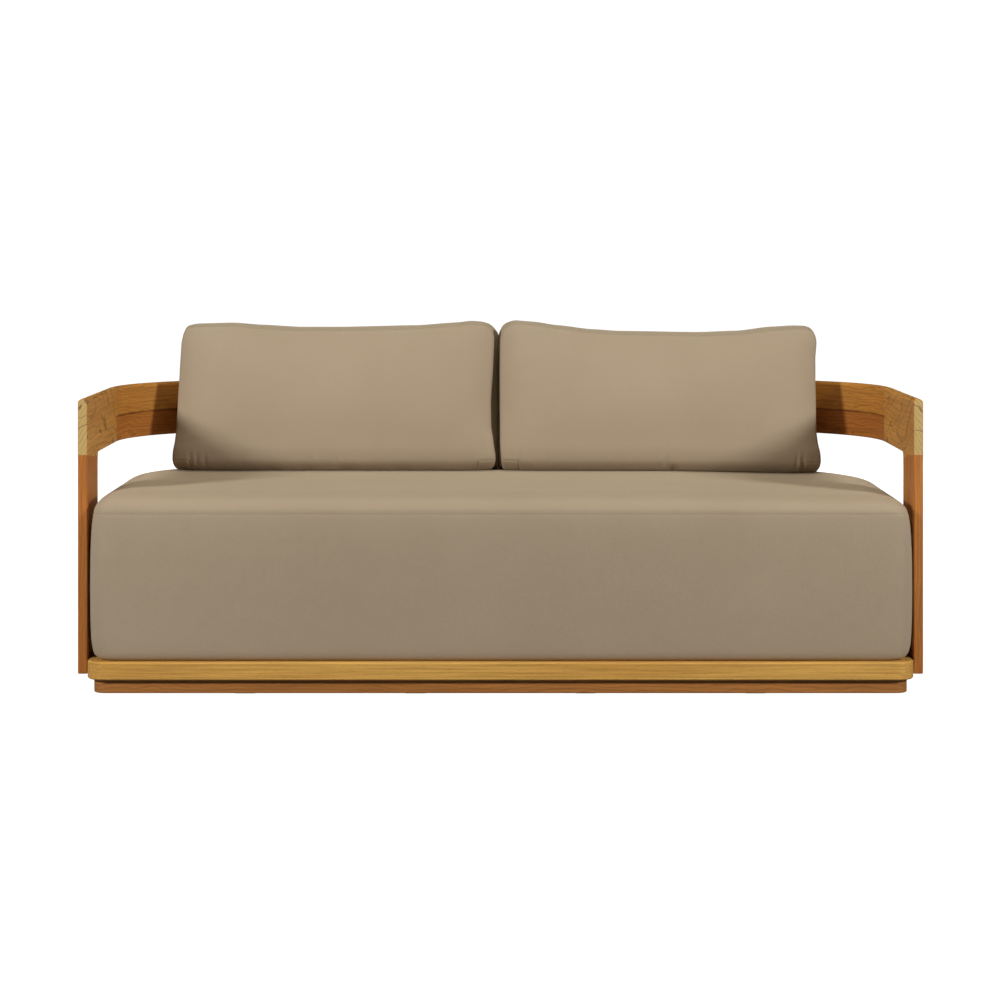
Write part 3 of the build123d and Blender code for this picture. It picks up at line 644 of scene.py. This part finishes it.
def evened(mesh, move):
    """Evens out how far neighbouring points move, so that the swelling has no ripples."""
    ends = np.empty(len(mesh.edges) * 2, dtype=np.int64)
    mesh.edges.foreach_get("vertices", ends)
    one, two = ends.reshape(-1, 2).T
    count = np.bincount(ends, minlength=len(move))[:, None]
    for _ in range(EVENING_ROUNDS):
        total = np.zeros_like(move)
        for axis in range(3):
            total[:, axis] = np.bincount(one, move[two, axis], len(move)) + np.bincount(two, move[one, axis], len(move))
        move = 0.5 * move + 0.5 * total / count
    return move


def inflated(form, cap, pins=""):
    """Blows the skin up as cloth, lets no point go further than the cap, and keeps that."""
    before = coordinates(form.data)
    cloth = form.modifiers.new("cloth", "CLOTH")
    cloth.settings.vertex_group_mass = pins
    cloth.settings.use_pressure = True
    cloth.settings.uniform_pressure_force = PRESSURE
    cloth.settings.effector_weights.gravity = 0
    cloth.settings.tension_stiffness = STIFFNESS
    cloth.settings.compression_stiffness = STIFFNESS
    cloth.settings.bending_stiffness = BENDING
    for number in range(1, CLOTH_FRAMES + 1):
        scene.frame_set(number)
    after = coordinates(form.evaluated_get(bpy.context.evaluated_depsgraph_get()).data)
    form.modifiers.clear()
    scene.frame_set(1)
    outwards = triples(form.data.vertices, "normal")
    far = np.clip(np.sum((after - before) * outwards, axis=1), 0.0, None)
    swell = evened(form.data, outwards * np.minimum(far, cap)[:, None])
    set_coordinates(form.data, before + swell)
    print(form.name, "moved up to", round(float(far.max()) * 1000, 1), "mm, kept to", round(cap * 1000, 1))


print("cloth runs for", CLOTH_FRAMES, "frames")

# %% Smoothing and sewing
CUTS = (-2, -1, 0, 1, 2)
SEAM_REACH = 1.5
TOO_SMALL = 0.12


def smooth_shaded(form):
    """Shades every face of the form smoothly."""
    for face in form.data.polygons:
        face.use_smooth = True


def subdivided(form):
    """One round of subdivision, which also smooths the skin."""
    smooth = form.modifiers.new("smooth", "SUBSURF")
    smooth.levels = smooth.render_levels = 1
    apply_modifiers(form)
    smooth_shaded(form)


def sewn(form, height, depth, half_width):
    """A seam all round at one height: a fine groove with crisp sides."""
    shell = bmesh.new()
    shell.from_mesh(form.data)
    up, at = Vector((0, 0, 1)), Vector((0, 0, height))
    for cut in CUTS:
        everything = shell.verts[:] + shell.edges[:] + shell.faces[:]
        bmesh.ops.bisect_plane(shell, geom=everything, plane_co=at + up * (cut * half_width), plane_no=up, dist=1e-5)
    shell.normal_update()
    reach = half_width * SEAM_REACH
    for vertex in shell.verts:
        off = abs((vertex.co - at).dot(up))
        if off < reach:
            vertex.co -= vertex.normal * depth * (1 - off / reach)
    bmesh.ops.dissolve_degenerate(shell, dist=half_width * TOO_SMALL, edges=shell.edges)
    shell.to_mesh(form.data)
    shell.free()


print("a seam is cut", len(CUTS), "times")

# %% [markdown]
# ## Seat cushion
# One block of foam nearly as wide as the space between the arms. Its boxing leans
# in towards the deck and pinches a little at the seam, and above the seam the top
# rises over soft shoulders to a flat crown. In front the boxing falls almost
# straight to the deck's edge. A bevelled box would be even all round, so the form is
# a stack of outlines instead: two tables say how far each one draws in.

# %% Seat cushion form
seat_low, seat_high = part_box("seat_cushion_cover")
SEAT_VOXEL = 0.012
SEAT_CAP = 0.005
SEAT_START = 0.0005
SEAT_SEAM = 0.3273
SEAT_CORNER = 0.042
RING_POINTS = 16
SEAT_BOXING_SHARES = (
    (0, 0.62), (0.012, 0.42), (0.035, 0.26), (0.075, 0.15), (0.14, 0.07), (0.3, 0.015),
    (0.5, 0), (0.72, 0.02), (0.87, 0.07), (0.95, 0.13), (1, 0.2),
)
SEAT_CROWN_SHARES = (
    (0.14, 0.006), (0.3, 0.022), (0.46, 0.055), (0.62, 0.11), (0.76, 0.18),
    (0.87, 0.28), (0.945, 0.42), (0.98, 0.62), (1, 1),
)
SEAT_DRAW = 0.034
FRONT_FOOT_DRAW = 0.25
CROWN_RUN = 0.115


def seat_ring(height, inset, front_inset):
    """One outline of the seat cushion, with small corners in front and large ones behind."""
    half_width = seat_high.x - inset
    front, back = seat_low.y + front_inset, seat_high.y - inset
    back_radius = half_width - corner_low.x
    points = []
    corners = (
        (half_width - SEAT_CORNER, front + SEAT_CORNER, SEAT_CORNER, -90),
        (half_width - back_radius, back - back_radius, back_radius, 0),
        (back_radius - half_width, back - back_radius, back_radius, 90),
        (SEAT_CORNER - half_width, front + SEAT_CORNER, SEAT_CORNER, 180),
    )
    for x, y, radius, start in corners:
        for n in range(RING_POINTS + 1):
            angle = math.radians(start + 90 * n / RING_POINTS)
            points.append((x + radius * math.cos(angle), y + radius * math.sin(angle), height))
    return points


seam_z = seat_low.z + SEAT_SEAM
rings = []
for share, draw in SEAT_BOXING_SHARES:
    height = seat_low.z + SEAT_START + share * (SEAT_SEAM - SEAT_START)
    inset = draw * SEAT_DRAW
    front_inset = inset * (FRONT_FOOT_DRAW if share < 0.5 else 1)
    rings.append(seat_ring(height, SEAT_START + inset, SEAT_START + front_inset))
seam_inset = SEAT_START + SEAT_BOXING_SHARES[-1][1] * SEAT_DRAW
for rise, run in SEAT_CROWN_SHARES:
    inset = seam_inset + run * CROWN_RUN
    rings.append(seat_ring(seam_z + rise * (seat_high.z - SEAT_START - seam_z), inset, inset))
seat = stacked("seat_cushion", rings)
remeshed(seat, SEAT_VOXEL)
print("seat cushion skin:", len(seat.data.vertices), "points")

# %% Seat cushion stuffed, and kept between its neighbours
SEAT_REST = 0.0003
SEAT_ZIP_DEPTH = 0.0014
POST_CLEARANCE = 0.001

inflated(seat, SEAT_CAP)
subdivided(seat)
points = coordinates(seat.data)
points[:, 2] = np.maximum(points[:, 2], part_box("slat_1")[1].z + SEAT_REST)
points[:, 1] = np.minimum(points[:, 1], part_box("seat_cushion_zip")[1].y - SEAT_ZIP_DEPTH)
post_low, post_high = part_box("front_post_right")
between_posts = post_low.x - POST_CLEARANCE
points[:, 0] = np.clip(points[:, 0], -between_posts, between_posts)
print("seat cushion is", round(2 * between_posts, 3), "wide between the posts")

# %% [markdown]
# ## Seat cushion: how it has settled
# A used cushion isn't even. At the right this one bulges a little before the post,
# and the back cushions have pressed its crown down, most at the right. Simulating
# their weight would give some dent, but not the one in the photograph, so a short
# table says how deep it is along the seat.

# %% Seat cushion settled and sewn
RIGHT_BULGE = 0.0065
BULGE_START = 0.84
BULGE_RUN = 0.08
BULGE_BEFORE_POST = 0.002
BULGE_ABOVE_SEAM = 0.025
BULGE_FADE = 0.03
CROWN_ROOM = 0.003
CROWN_ROOM_START = 0.1
CROWN_ROOM_RUN = 0.2
CROWN_BELOW_BACKS = 0.0001
SUNK = ((-0.86, 0.0), (-0.76, 0.004), (0.4, 0.0045), (0.72, 0.0105), (0.95, 0.0105))
SEAM_DEPTH = 0.0006
SEAM_HALF = 0.0024


def share_of(distance, run):
    """How much of a run a distance covers, from none to all of it."""
    return np.clip(distance / run, 0, 1)


def sunk(x):
    """How far the crown is pressed down at a place along the seat."""
    return np.interp(x, *zip(*SUNK))


before_post = share_of(post_low.y - BULGE_BEFORE_POST - points[:, 1], BULGE_FADE)
below_seam = share_of(seam_z + BULGE_ABOVE_SEAM - points[:, 2], BULGE_FADE)
points[:, 0] += RIGHT_BULGE * before_post * below_seam * share_of(points[:, 0] - BULGE_START, BULGE_RUN)
crown_room = CROWN_ROOM * share_of(CROWN_ROOM_START - points[:, 1], CROWN_ROOM_RUN)
points[:, 2] = np.minimum(points[:, 2], seat_high.z - CROWN_BELOW_BACKS + crown_room)
points[:, 2] -= sunk(points[:, 0]) * share_of(points[:, 2] - seam_z, seat_high.z - seam_z)
set_coordinates(seat.data, points)
sewn(seat, seam_z, SEAM_DEPTH, SEAM_HALF)
seat.data.materials.append(seat_fabric)
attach(seat, "seat_cushion")
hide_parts("seat_cushion_cover", "seat_cushion_foam")
print("seat cushion:", len(seat.data.vertices), "points")

# %% [markdown]
# ## Back cushions: a box of panels
# Each back cushion is a front panel, a rear panel and a strip of boxing between
# them. Here the seams matter more than on the seat, because the bottom one puckers,
# so the form is not remeshed: it is a box of small square patches that knows, for
# every point, how far along, through and up the box it lies. Those three shares
# say later where the seams and puckers go, whatever the stuffing has done.


# %% A box of panels
def panel_box(name, counts, place):
    """A closed box of patches; place(along, through, up) says where each point goes."""
    long, deep, high = counts
    numbers, points, shares, faces = {}, [], [], []

    def corner(i, j, k):
        if (i, j, k) not in numbers:
            numbers[i, j, k] = len(points)
            shares.append((i / long, j / deep, k / high))
            points.append(place(*shares[-1]))
        return numbers[i, j, k]

    def patch(start, first, second):
        one = tuple(a + b for a, b in zip(start, first))
        two = tuple(a + b for a, b in zip(one, second))
        three = tuple(a + b for a, b in zip(start, second))
        faces.append([corner(*c) for c in (start, one, two, three)])

    x, y, z = (1, 0, 0), (0, 1, 0), (0, 0, 1)
    for i in range(long):
        for k in range(high):
            patch((i, 0, k), x, z)
            patch((i, deep, k), z, x)
        for j in range(deep):
            patch((i, j, 0), y, x)
            patch((i, j, high), x, y)
    for j in range(deep):
        for k in range(high):
            patch((0, j, k), z, y)
            patch((long, j, k), y, z)
    mesh = bpy.data.meshes.new(name)
    mesh.from_pydata(points, [], faces)
    mesh.attributes.new("shares", "FLOAT_VECTOR", "POINT").data.foreach_set("vector", np.array(shares).ravel())
    return placed(name, mesh)


def shares_of(mesh):
    """How far along, through and up the box each point lies."""
    return triples(mesh.attributes["shares"].data, "vector")


print("panel boxes ready")

# %% [markdown]
# ## Back cushions: their shape
# Each cushion leans on the rail, and is thinner at its outer end, where the rail
# curves in. Its top edge sags between corners that stand up like ears, its ends
# draw in halfway up, and its lower corners spread on the seat. The two are not
# quite alike, so each has its own lines: pairs of a share of the height or length,
# and a place in metres from the middle of the loveseat.

# %% Back cushion measures
BACK_COUNTS = (114, 20, 48)
BACK_START = 0.001
BACK_LEAN = 0.080
BACK_DEPTH = 0.167
LOW_SEAM_SHARE = 1 / 12
BACK_LOW_SEAM = 0.026
BACK_UNDERCUT = 0.014
BACK_FOOT_UNDERCUT = 0.019
BACK_FOOT_CURVE = 1.3
BACK_CROWN = 0.019
BACK_ROLL = 0.021
BACK_ROLL_HEIGHT = 0.062
BACK_MEET_GAP = 0.0003
BACK_MEET = {"left": 0.0041, "right": -0.0041}
BACK_MEET_SLANT = {"left": -0.012, "right": 0.012}
BACK_MEET_START = 0.28
BACK_MEET_RUN = 0.12
BACK_MEET_FADE = 0.05
BACK_TOP_CROWN = 0.008
BACK_TOP_START = 0.8
BACK_TOP_RUN = 0.2
BACK_TOP_RISE = 0.004
BACK_OUTER_SPREAD = 0.004
BACK_END_DRAW = 0.015
BACK_END_REACH = 0.10
BACK_END_FLAT = 0.75
BACK_ZIP_DEPTH = 0.0041
BACK_REST = 0.0006

back_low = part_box("back_cushion_cover_right")[0]
foot_seam = back_low.z + BACK_LOW_SEAM
inner_radius = rail_radius - (post_high.x - post_low.x)
rail_inside_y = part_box("back_rail_upper")[0].y
rear_low_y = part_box("back_cushion_zip_right")[1].y + BACK_ZIP_DEPTH
front_low_y = rear_low_y - BACK_DEPTH
print("back cushion depth:", round(rear_low_y - front_low_y, 4))

# %% The lines of the two back cushions
BACK_LINES = {
    "left": {
        "inner": ((0, 0.0225), (0.045, 0.0136), (0.1, 0.0110), (0.2, 0.016), (0.31, 0.022), (0.48, 0.023),
                  (0.77, 0.017), (0.93, 0.0145), (1, 0.018)),
        "outer": ((0, 0.7985), (0.02, 0.8025), (0.045, 0.805), (0.08, 0.8055), (0.13, 0.8045), (0.22, 0.799),
                  (0.3, 0.796), (0.48, 0.7945), (0.7, 0.7925), (0.9, 0.791), (0.97, 0.787), (1, 0.781)),
        "top": ((0, 0.789), (0.015, 0.797), (0.04, 0.8015), (0.07, 0.803), (0.124, 0.7986), (0.25, 0.7918),
                (0.505, 0.7877), (0.633, 0.7877), (0.76, 0.793), (0.855, 0.7985), (0.97, 0.797), (1, 0.792)),
    },
    "right": {
        "inner": ((0, 0.006), (0.05, 0.0015), (0.1, 0.0), (0.2, -0.002), (0.7, -0.003), (0.93, -0.002), (1, 0.003)),
        "outer": ((0, 0.7775), (0.02, 0.782), (0.045, 0.7855), (0.08, 0.7865), (0.13, 0.7855), (0.22, 0.7785),
                  (0.3, 0.7755), (0.6, 0.777), (0.8, 0.779), (0.93, 0.784), (0.975, 0.781), (1, 0.773)),
        "top": ((0, 0.790), (0.015, 0.799), (0.04, 0.8045), (0.1, 0.801), (0.18, 0.792), (0.29, 0.782),
                (0.38, 0.7775), (0.64, 0.7745), (0.77, 0.778), (0.88, 0.7885), (0.95, 0.792), (0.985, 0.7915),
                (1, 0.787)),
    },
}


def read_line(line, share):
    """Reads a smooth line through a table of shares and places."""
    at, values = zip(*line)
    upper = min(max(int(np.searchsorted(at, share)), 1), len(at) - 1)
    t = (share - at[upper - 1]) / (at[upper] - at[upper - 1])
    t = min(max(t, 0.0), 1.0)
    eased = t * t * (3 - 2 * t)
    blend = 0.5 * t + 0.5 * eased
    return values[upper - 1] + (values[upper] - values[upper - 1]) * blend


print("left cushion's top in the middle:", round(read_line(BACK_LINES["left"]["top"], 0.5), 4))


# %% Where a point of a back cushion goes
def meeting(side, through):
    """Where the two cushions press together: a plane a little askew, so no light comes through."""
    return BACK_MEET[side] + BACK_MEET_GAP / 2 + BACK_MEET_SLANT[side] * (through - 0.5)


def back_place(side):
    """Where a point of the box goes on one back cushion, for its right-hand form."""
    lines = BACK_LINES[side]

    def place(along, through, up):
        inner = read_line(lines["inner"], up) + BACK_START
        pressed = min(max((min(through, 1 - through) - BACK_MEET_START) / BACK_MEET_RUN, 0.0), 1.0)
        fade = min(1.0, (1 - up) / BACK_MEET_FADE)
        inner += (meeting(side, through) - inner) * pressed * pressed * (3 - 2 * pressed) * fade
        outer = read_line(lines["outer"], up) + BACK_OUTER_SPREAD
        x = inner + (outer - inner) * along
        from_end = min(x - inner, outer - x)
        near_end = max(0.0, 1 - from_end / BACK_END_REACH)
        draw = BACK_START + BACK_END_DRAW * near_end**3
        fullness = 1 - BACK_END_FLAT * near_end**2
        front = front_low_y + draw
        rear = rear_low_y - draw
        if x > corner_low.x:
            rear -= inner_radius - math.sqrt(inner_radius**2 - (x - corner_low.x) ** 2)
        low = back_low.z + BACK_REST
        top = read_line(lines["top"], along) - BACK_TOP_CROWN + BACK_TOP_RISE
        if up <= LOW_SEAM_SHARE:
            t = up / LOW_SEAM_SHARE
            z = low + (foot_seam - low) * t
            front += BACK_FOOT_UNDERCUT * (1 - t) ** BACK_FOOT_CURVE
            rear -= BACK_UNDERCUT * (1 - t)
        else:
            t = (up - LOW_SEAM_SHARE) / (1 - LOW_SEAM_SHARE)
            z = foot_seam + (top - foot_seam) * t
            front += BACK_LEAN * t - fullness * BACK_CROWN * 4 * t * (1 - t)
            rear += BACK_LEAN * t + fullness * BACK_CROWN * 4 * t * (1 - t)
        front += BACK_ROLL * max(0.0, 1 - (z - low) / BACK_ROLL_HEIGHT) ** 2
        y = front + (rear - front) * through
        near_top = max(0.0, (up - BACK_TOP_START) / BACK_TOP_RUN)
        z += BACK_TOP_CROWN * 4 * through * (1 - through) * near_top**2
        return (x, y, z)

    return place


print("the cushions meet at", round(meeting("right", 0.5), 4))

# %% [markdown]
# ## Back cushions: seams
# The seams are pinned while the panels between them are blown up. A plane can't cut
# seams that bend, so they are cut as narrow channels along the edges where two
# panels meet. The long one in front shows only at its ends, where a square of
# stitching closes each corner: between them the cloth hides it.

# %% Back cushion seams
GROOVE_HALF = 0.0013
GROOVE_DEPTH = 0.0016
CORNER_SQUARE = 6 / BACK_COUNTS[0]
NEAR = 1e-4


def pinned(form, chosen):
    """Puts the chosen points in the group that the cloth holds still."""
    group = form.vertex_groups.new(name="seams")
    group.add([int(n) for n in np.flatnonzero(chosen)], 1.0, "REPLACE")
    return group.name


def on_seams(shares):
    """Which points lie on a seam: round the front panel and round the rear one."""
    along, through, up = shares.T
    panel = (through < NEAR) | (through > 1 - NEAR)
    ends = (along < NEAR) | (along > 1 - NEAR)
    level = (abs(up - LOW_SEAM_SHARE) < NEAR) | (up > 1 - NEAR)
    return panel & (up > LOW_SEAM_SHARE - NEAR) & (ends | level)


def in_sight(shares):
    """Which of those points show as a seam, with the squares that close the lower corners."""
    along, through, up = shares.T
    from_end = np.minimum(along, 1 - along)
    in_front = (through < NEAR) & (up < LOW_SEAM_SHARE + NEAR)
    hidden = in_front & (from_end > CORNER_SQUARE + NEAR)
    upright = in_front & (abs(from_end - CORNER_SQUARE) < NEAR)
    return (on_seams(shares) & ~hidden) | upright


def channelled(form, chosen):
    """Cuts a narrow channel along every edge between two chosen points."""
    shell = bmesh.new()
    shell.from_mesh(form.data)
    shell.verts.ensure_lookup_table()
    edges = [e for e in shell.edges if chosen[e.verts[0].index] and chosen[e.verts[1].index]]
    made = bmesh.ops.bevel(shell, geom=edges, offset=GROOVE_HALF, segments=2, affect="EDGES", profile=0.7)
    new = set(made["faces"])
    shell.normal_update()
    for vertex in made["verts"]:
        if vertex.is_valid and all(face in new for face in vertex.link_faces):
            vertex.co -= vertex.normal * GROOVE_DEPTH
    shell.to_mesh(form.data)
    shell.free()


print("seams are", 2 * GROOVE_HALF, "wide")

# %% [markdown]
# ## Back cushions: puckers, and a foot off the seat
# Where the needle gathered the cloth, the bottom seam puckers, and here and there
# the foot doesn't quite touch the seat. Cloth could give such folds by chance, but
# not where they are, so each is a small bump of its own: a place along the cushion,
# half its width, and how deep or high it is.

# %% Puckers and lifts
PUCKER_REACH = 0.015
PUCKER_FADE = 1.3
PUCKER_SIZE = 0.55
PUCKER_INWARDS = 5
LIFT_REACH = 0.02
LIFT_INWARDS = 3
PUCKERS = {
    "left": ((0.068, 0.003, 0.0035), (0.764, 0.004, 0.004), (0.747, 0.003, 0.0035), (0.727, 0.004, 0.003),
             (0.640, 0.010, 0.0012), (0.560, 0.008, 0.0012), (0.470, 0.004, 0.0026), (0.456, 0.007, -0.002),
             (0.406, 0.005, 0.0028), (0.392, 0.007, -0.002), (0.300, 0.008, 0.0012), (0.190, 0.010, 0.0012),
             (0.110, 0.009, 0.001)),
    "right": ((0.044, 0.004, 0.005), (0.060, 0.006, -0.002), (0.088, 0.003, 0.0035), (0.101, 0.004, -0.002),
              (0.115, 0.003, 0.0035), (0.200, 0.009, 0.0012), (0.290, 0.008, 0.0012), (0.396, 0.006, -0.0035),
              (0.408, 0.005, 0.004), (0.520, 0.010, 0.0012), (0.620, 0.009, 0.0012), (0.729, 0.0035, 0.0045),
              (0.737, 0.003, -0.003), (0.745, 0.0035, 0.0045), (0.772, 0.005, 0.002)),
}
LIFTS = {
    "left": ((0.615, 0.02, 0.0015), (0.565, 0.022, 0.003), (0.520, 0.02, 0.0012), (0.470, 0.022, 0.003),
             (0.425, 0.018, 0.001), (0.375, 0.025, 0.0032), (0.310, 0.03, 0.002), (0.240, 0.03, 0.0022),
             (0.170, 0.03, 0.0015)),
    "right": ((0.045, 0.006, 0.001), (0.424, 0.012, 0.0045), (0.56, 0.03, 0.0008)),
}


def bump_at(points, x, width):
    """A smooth bump along the cushion: 1 at its middle, and 0 well away from it."""
    return np.exp(-(((points[:, 0] - x) / width) ** 2))


def creased(points, shares, creases):
    """Moves the front panel's foot in and out at each crease, less and less upwards."""
    away = np.abs(points[:, 2] - foot_seam)
    front = np.clip(1 - shares[:, 1] * PUCKER_INWARDS, 0, 1)
    fade = np.exp(-((away / PUCKER_REACH) ** PUCKER_FADE)) * front
    for x, width, depth in creases:
        points[:, 1] += PUCKER_SIZE * depth * bump_at(points, x, width) * fade


def lifted(points, shares, lifts):
    """Raises the front edge of the bottom a little off the seat, here and there."""
    low = 1 - share_of(points[:, 2] - back_low.z, LIFT_REACH)
    front = np.clip(1 - shares[:, 1] * LIFT_INWARDS, 0, 1)
    for x, width, height in lifts:
        points[:, 2] += height * bump_at(points, x, width) * low * front


print("puckers:", {side: len(creases) for side, creases in PUCKERS.items()})

# %% [markdown]
# ## Back cushions: among their neighbours
# Cloth that swells runs into what is near. Collisions would be slow and still leave
# small overlaps, so points are moved back afterwards: onto the pressed seat, off the
# rail's inside, and behind the zip.

# %% Kept clear of seat, rail and zip
FOOT_REACH = 0.12
SEAT_CONTACT = 0.0002
RAIL_CLEARANCE = 0.0006
RAIL_SIDE = 0.075
ZIP_CLEARANCE = 0.0008


def let_down(points, sign):
    """Lowers the foot with the pressed seat, and lets none of it sink in."""
    foot = sunk(sign * points[:, 0])
    points[:, 2] -= foot * (1 - share_of(points[:, 2] - back_low.z, FOOT_REACH))
    points[:, 2] = np.maximum(points[:, 2], back_low.z + SEAT_CONTACT - foot)


def kept_off_rail(points):
    """Moves what lies in the rail forwards, at its round corner and along its back."""
    behind = points[:, 0] > corner_low.x
    beside = points[:, 2] < corner_low.z + RAIL_SIDE
    reach = np.hypot(points[:, 0] - corner_low.x, points[:, 1] - corner_low.y)
    too_far = behind & (reach > inner_radius - RAIL_CLEARANCE) & beside
    points[too_far, 1] -= reach[too_far] - (inner_radius - RAIL_CLEARANCE)
    straight = ~behind & beside
    points[straight, 1] = np.minimum(points[straight, 1], rail_inside_y - RAIL_CLEARANCE)


def kept_off_zip(points, shares):
    """Moves what stands out past the zip's slanting strip back behind it."""
    slant = Vector((0, BACK_LOW_SEAM, -BACK_UNDERCUT)).normalized()
    middle = Vector((0, rear_low_y - BACK_UNDERCUT / 2, back_low.z + BACK_LOW_SEAM / 2))
    proud = (points[:, 1] - middle.y) * slant.y + (points[:, 2] - middle.z) * slant.z + ZIP_CLEARANCE
    by_zip = (proud > 0) & (points[:, 2] < foot_seam) & (shares[:, 1] > 0.5)
    points[by_zip, 1] -= proud[by_zip] * slant.y
    points[by_zip, 2] -= proud[by_zip] * slant.z


print("back cushions stay", RAIL_CLEARANCE, "off the rail")

# %% The two back cushions
BACK_CAP = 0.007


def stuffed(form):
    """Blows the panels up between their seams, and keeps the inner end where it was."""
    start, shares = coordinates(form.data), shares_of(form.data)
    inflated(form, BACK_CAP, pinned(form, on_seams(shares)))
    points = coordinates(form.data)
    inner_end = shares[:, 0] < NEAR
    points[inner_end, 0] = start[inner_end, 0]
    set_coordinates(form.data, points)


def back_cushion(side, sign):
    """One back cushion, stuffed and sewn, on its own side."""
    form = panel_box(f"back_cushion_{side}", BACK_COUNTS, back_place(side))
    stuffed(form)
    subdivided(form)
    points, shares = coordinates(form.data), shares_of(form.data)
    creased(points, shares, PUCKERS[side])
    lifted(points, shares, LIFTS[side])
    let_down(points, sign)
    points[:, 0] = np.maximum(points[:, 0], meeting(side, shares[:, 1]))
    kept_off_rail(points)
    kept_off_zip(points, shares)
    points[:, 0] *= sign
    set_coordinates(form.data, points)
    if sign < 0:
        form.data.flip_normals()
    channelled(form, in_sight(shares))
    form.data.materials.append(back_fabric)
    smooth_shaded(form)
    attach(form, f"back_cushion_{side}")
    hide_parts(f"back_cushion_cover_{side}", f"back_cushion_foam_{side}")
    print(form.name, len(form.data.vertices), "points")


for side, sign in (("right", 1), ("left", -1)):
    back_cushion(side, sign)

# %% [markdown]
# ## Zips, screws, glides and spacers
# Small fittings that show from behind or below. A plain colour looks like toy
# plastic even there, so each gets patches of wear, which change its gloss too, and a
# fine grain.

# %% Fittings
WEAR = (0.35, 0.7)
WEAR_GLOSS = 0.15
FITTING_BUMP = 0.3
FITTING_GRAIN = 0.0002
FITTING_FINER = 12


def fitting(name, colour, worn, roughness, metallic, scale):
    """A small fitting's finish: a colour that is patchy with wear, and a fine grain."""
    material, tree, shader = dressed(name)
    where = tree.add("TexCoord").outputs["Object"]
    patches = tree.noise(where, scale, 3.0, 0.6)
    fine = tree.noise(where, scale * FITTING_FINER, 2.0)
    patchy = tree.mix(tree.spread(patches, *WEAR), (*colour, 1), (*worn, 1))
    rough = tree.spread(patches, *NOISE_BAND, roughness, roughness + WEAR_GLOSS)
    tree.fill(shader, {"Base Color": patchy, "Roughness": rough, "Metallic": metallic})
    tree.bump(shader, fine, FITTING_BUMP, FITTING_GRAIN)
    return material


zip_tape = fitting("zip_tape", (0.16, 0.12, 0.08), (0.20, 0.155, 0.105), 0.65, 0.0, 90)
zip_metal = fitting("zip_metal", (0.30, 0.28, 0.25), (0.40, 0.38, 0.35), 0.3, 1.0, 120)
steel = fitting("stainless_steel", (0.60, 0.60, 0.60), (0.68, 0.68, 0.67), 0.25, 1.0, 80)
black_rubber = fitting("black_rubber", (0.02, 0.02, 0.02), (0.045, 0.043, 0.04), 0.7, 0.0, 60)
finishes = {"slider": zip_metal, "zip": zip_tape, "screws": steel, "glides": black_rubber, "spacers": black_rubber}
for name in nodes:
    word = next((word for word in finishes if word in name), None)
    if word:
        give(name, finishes[word])
print("finishes for fittings:", len(finishes))
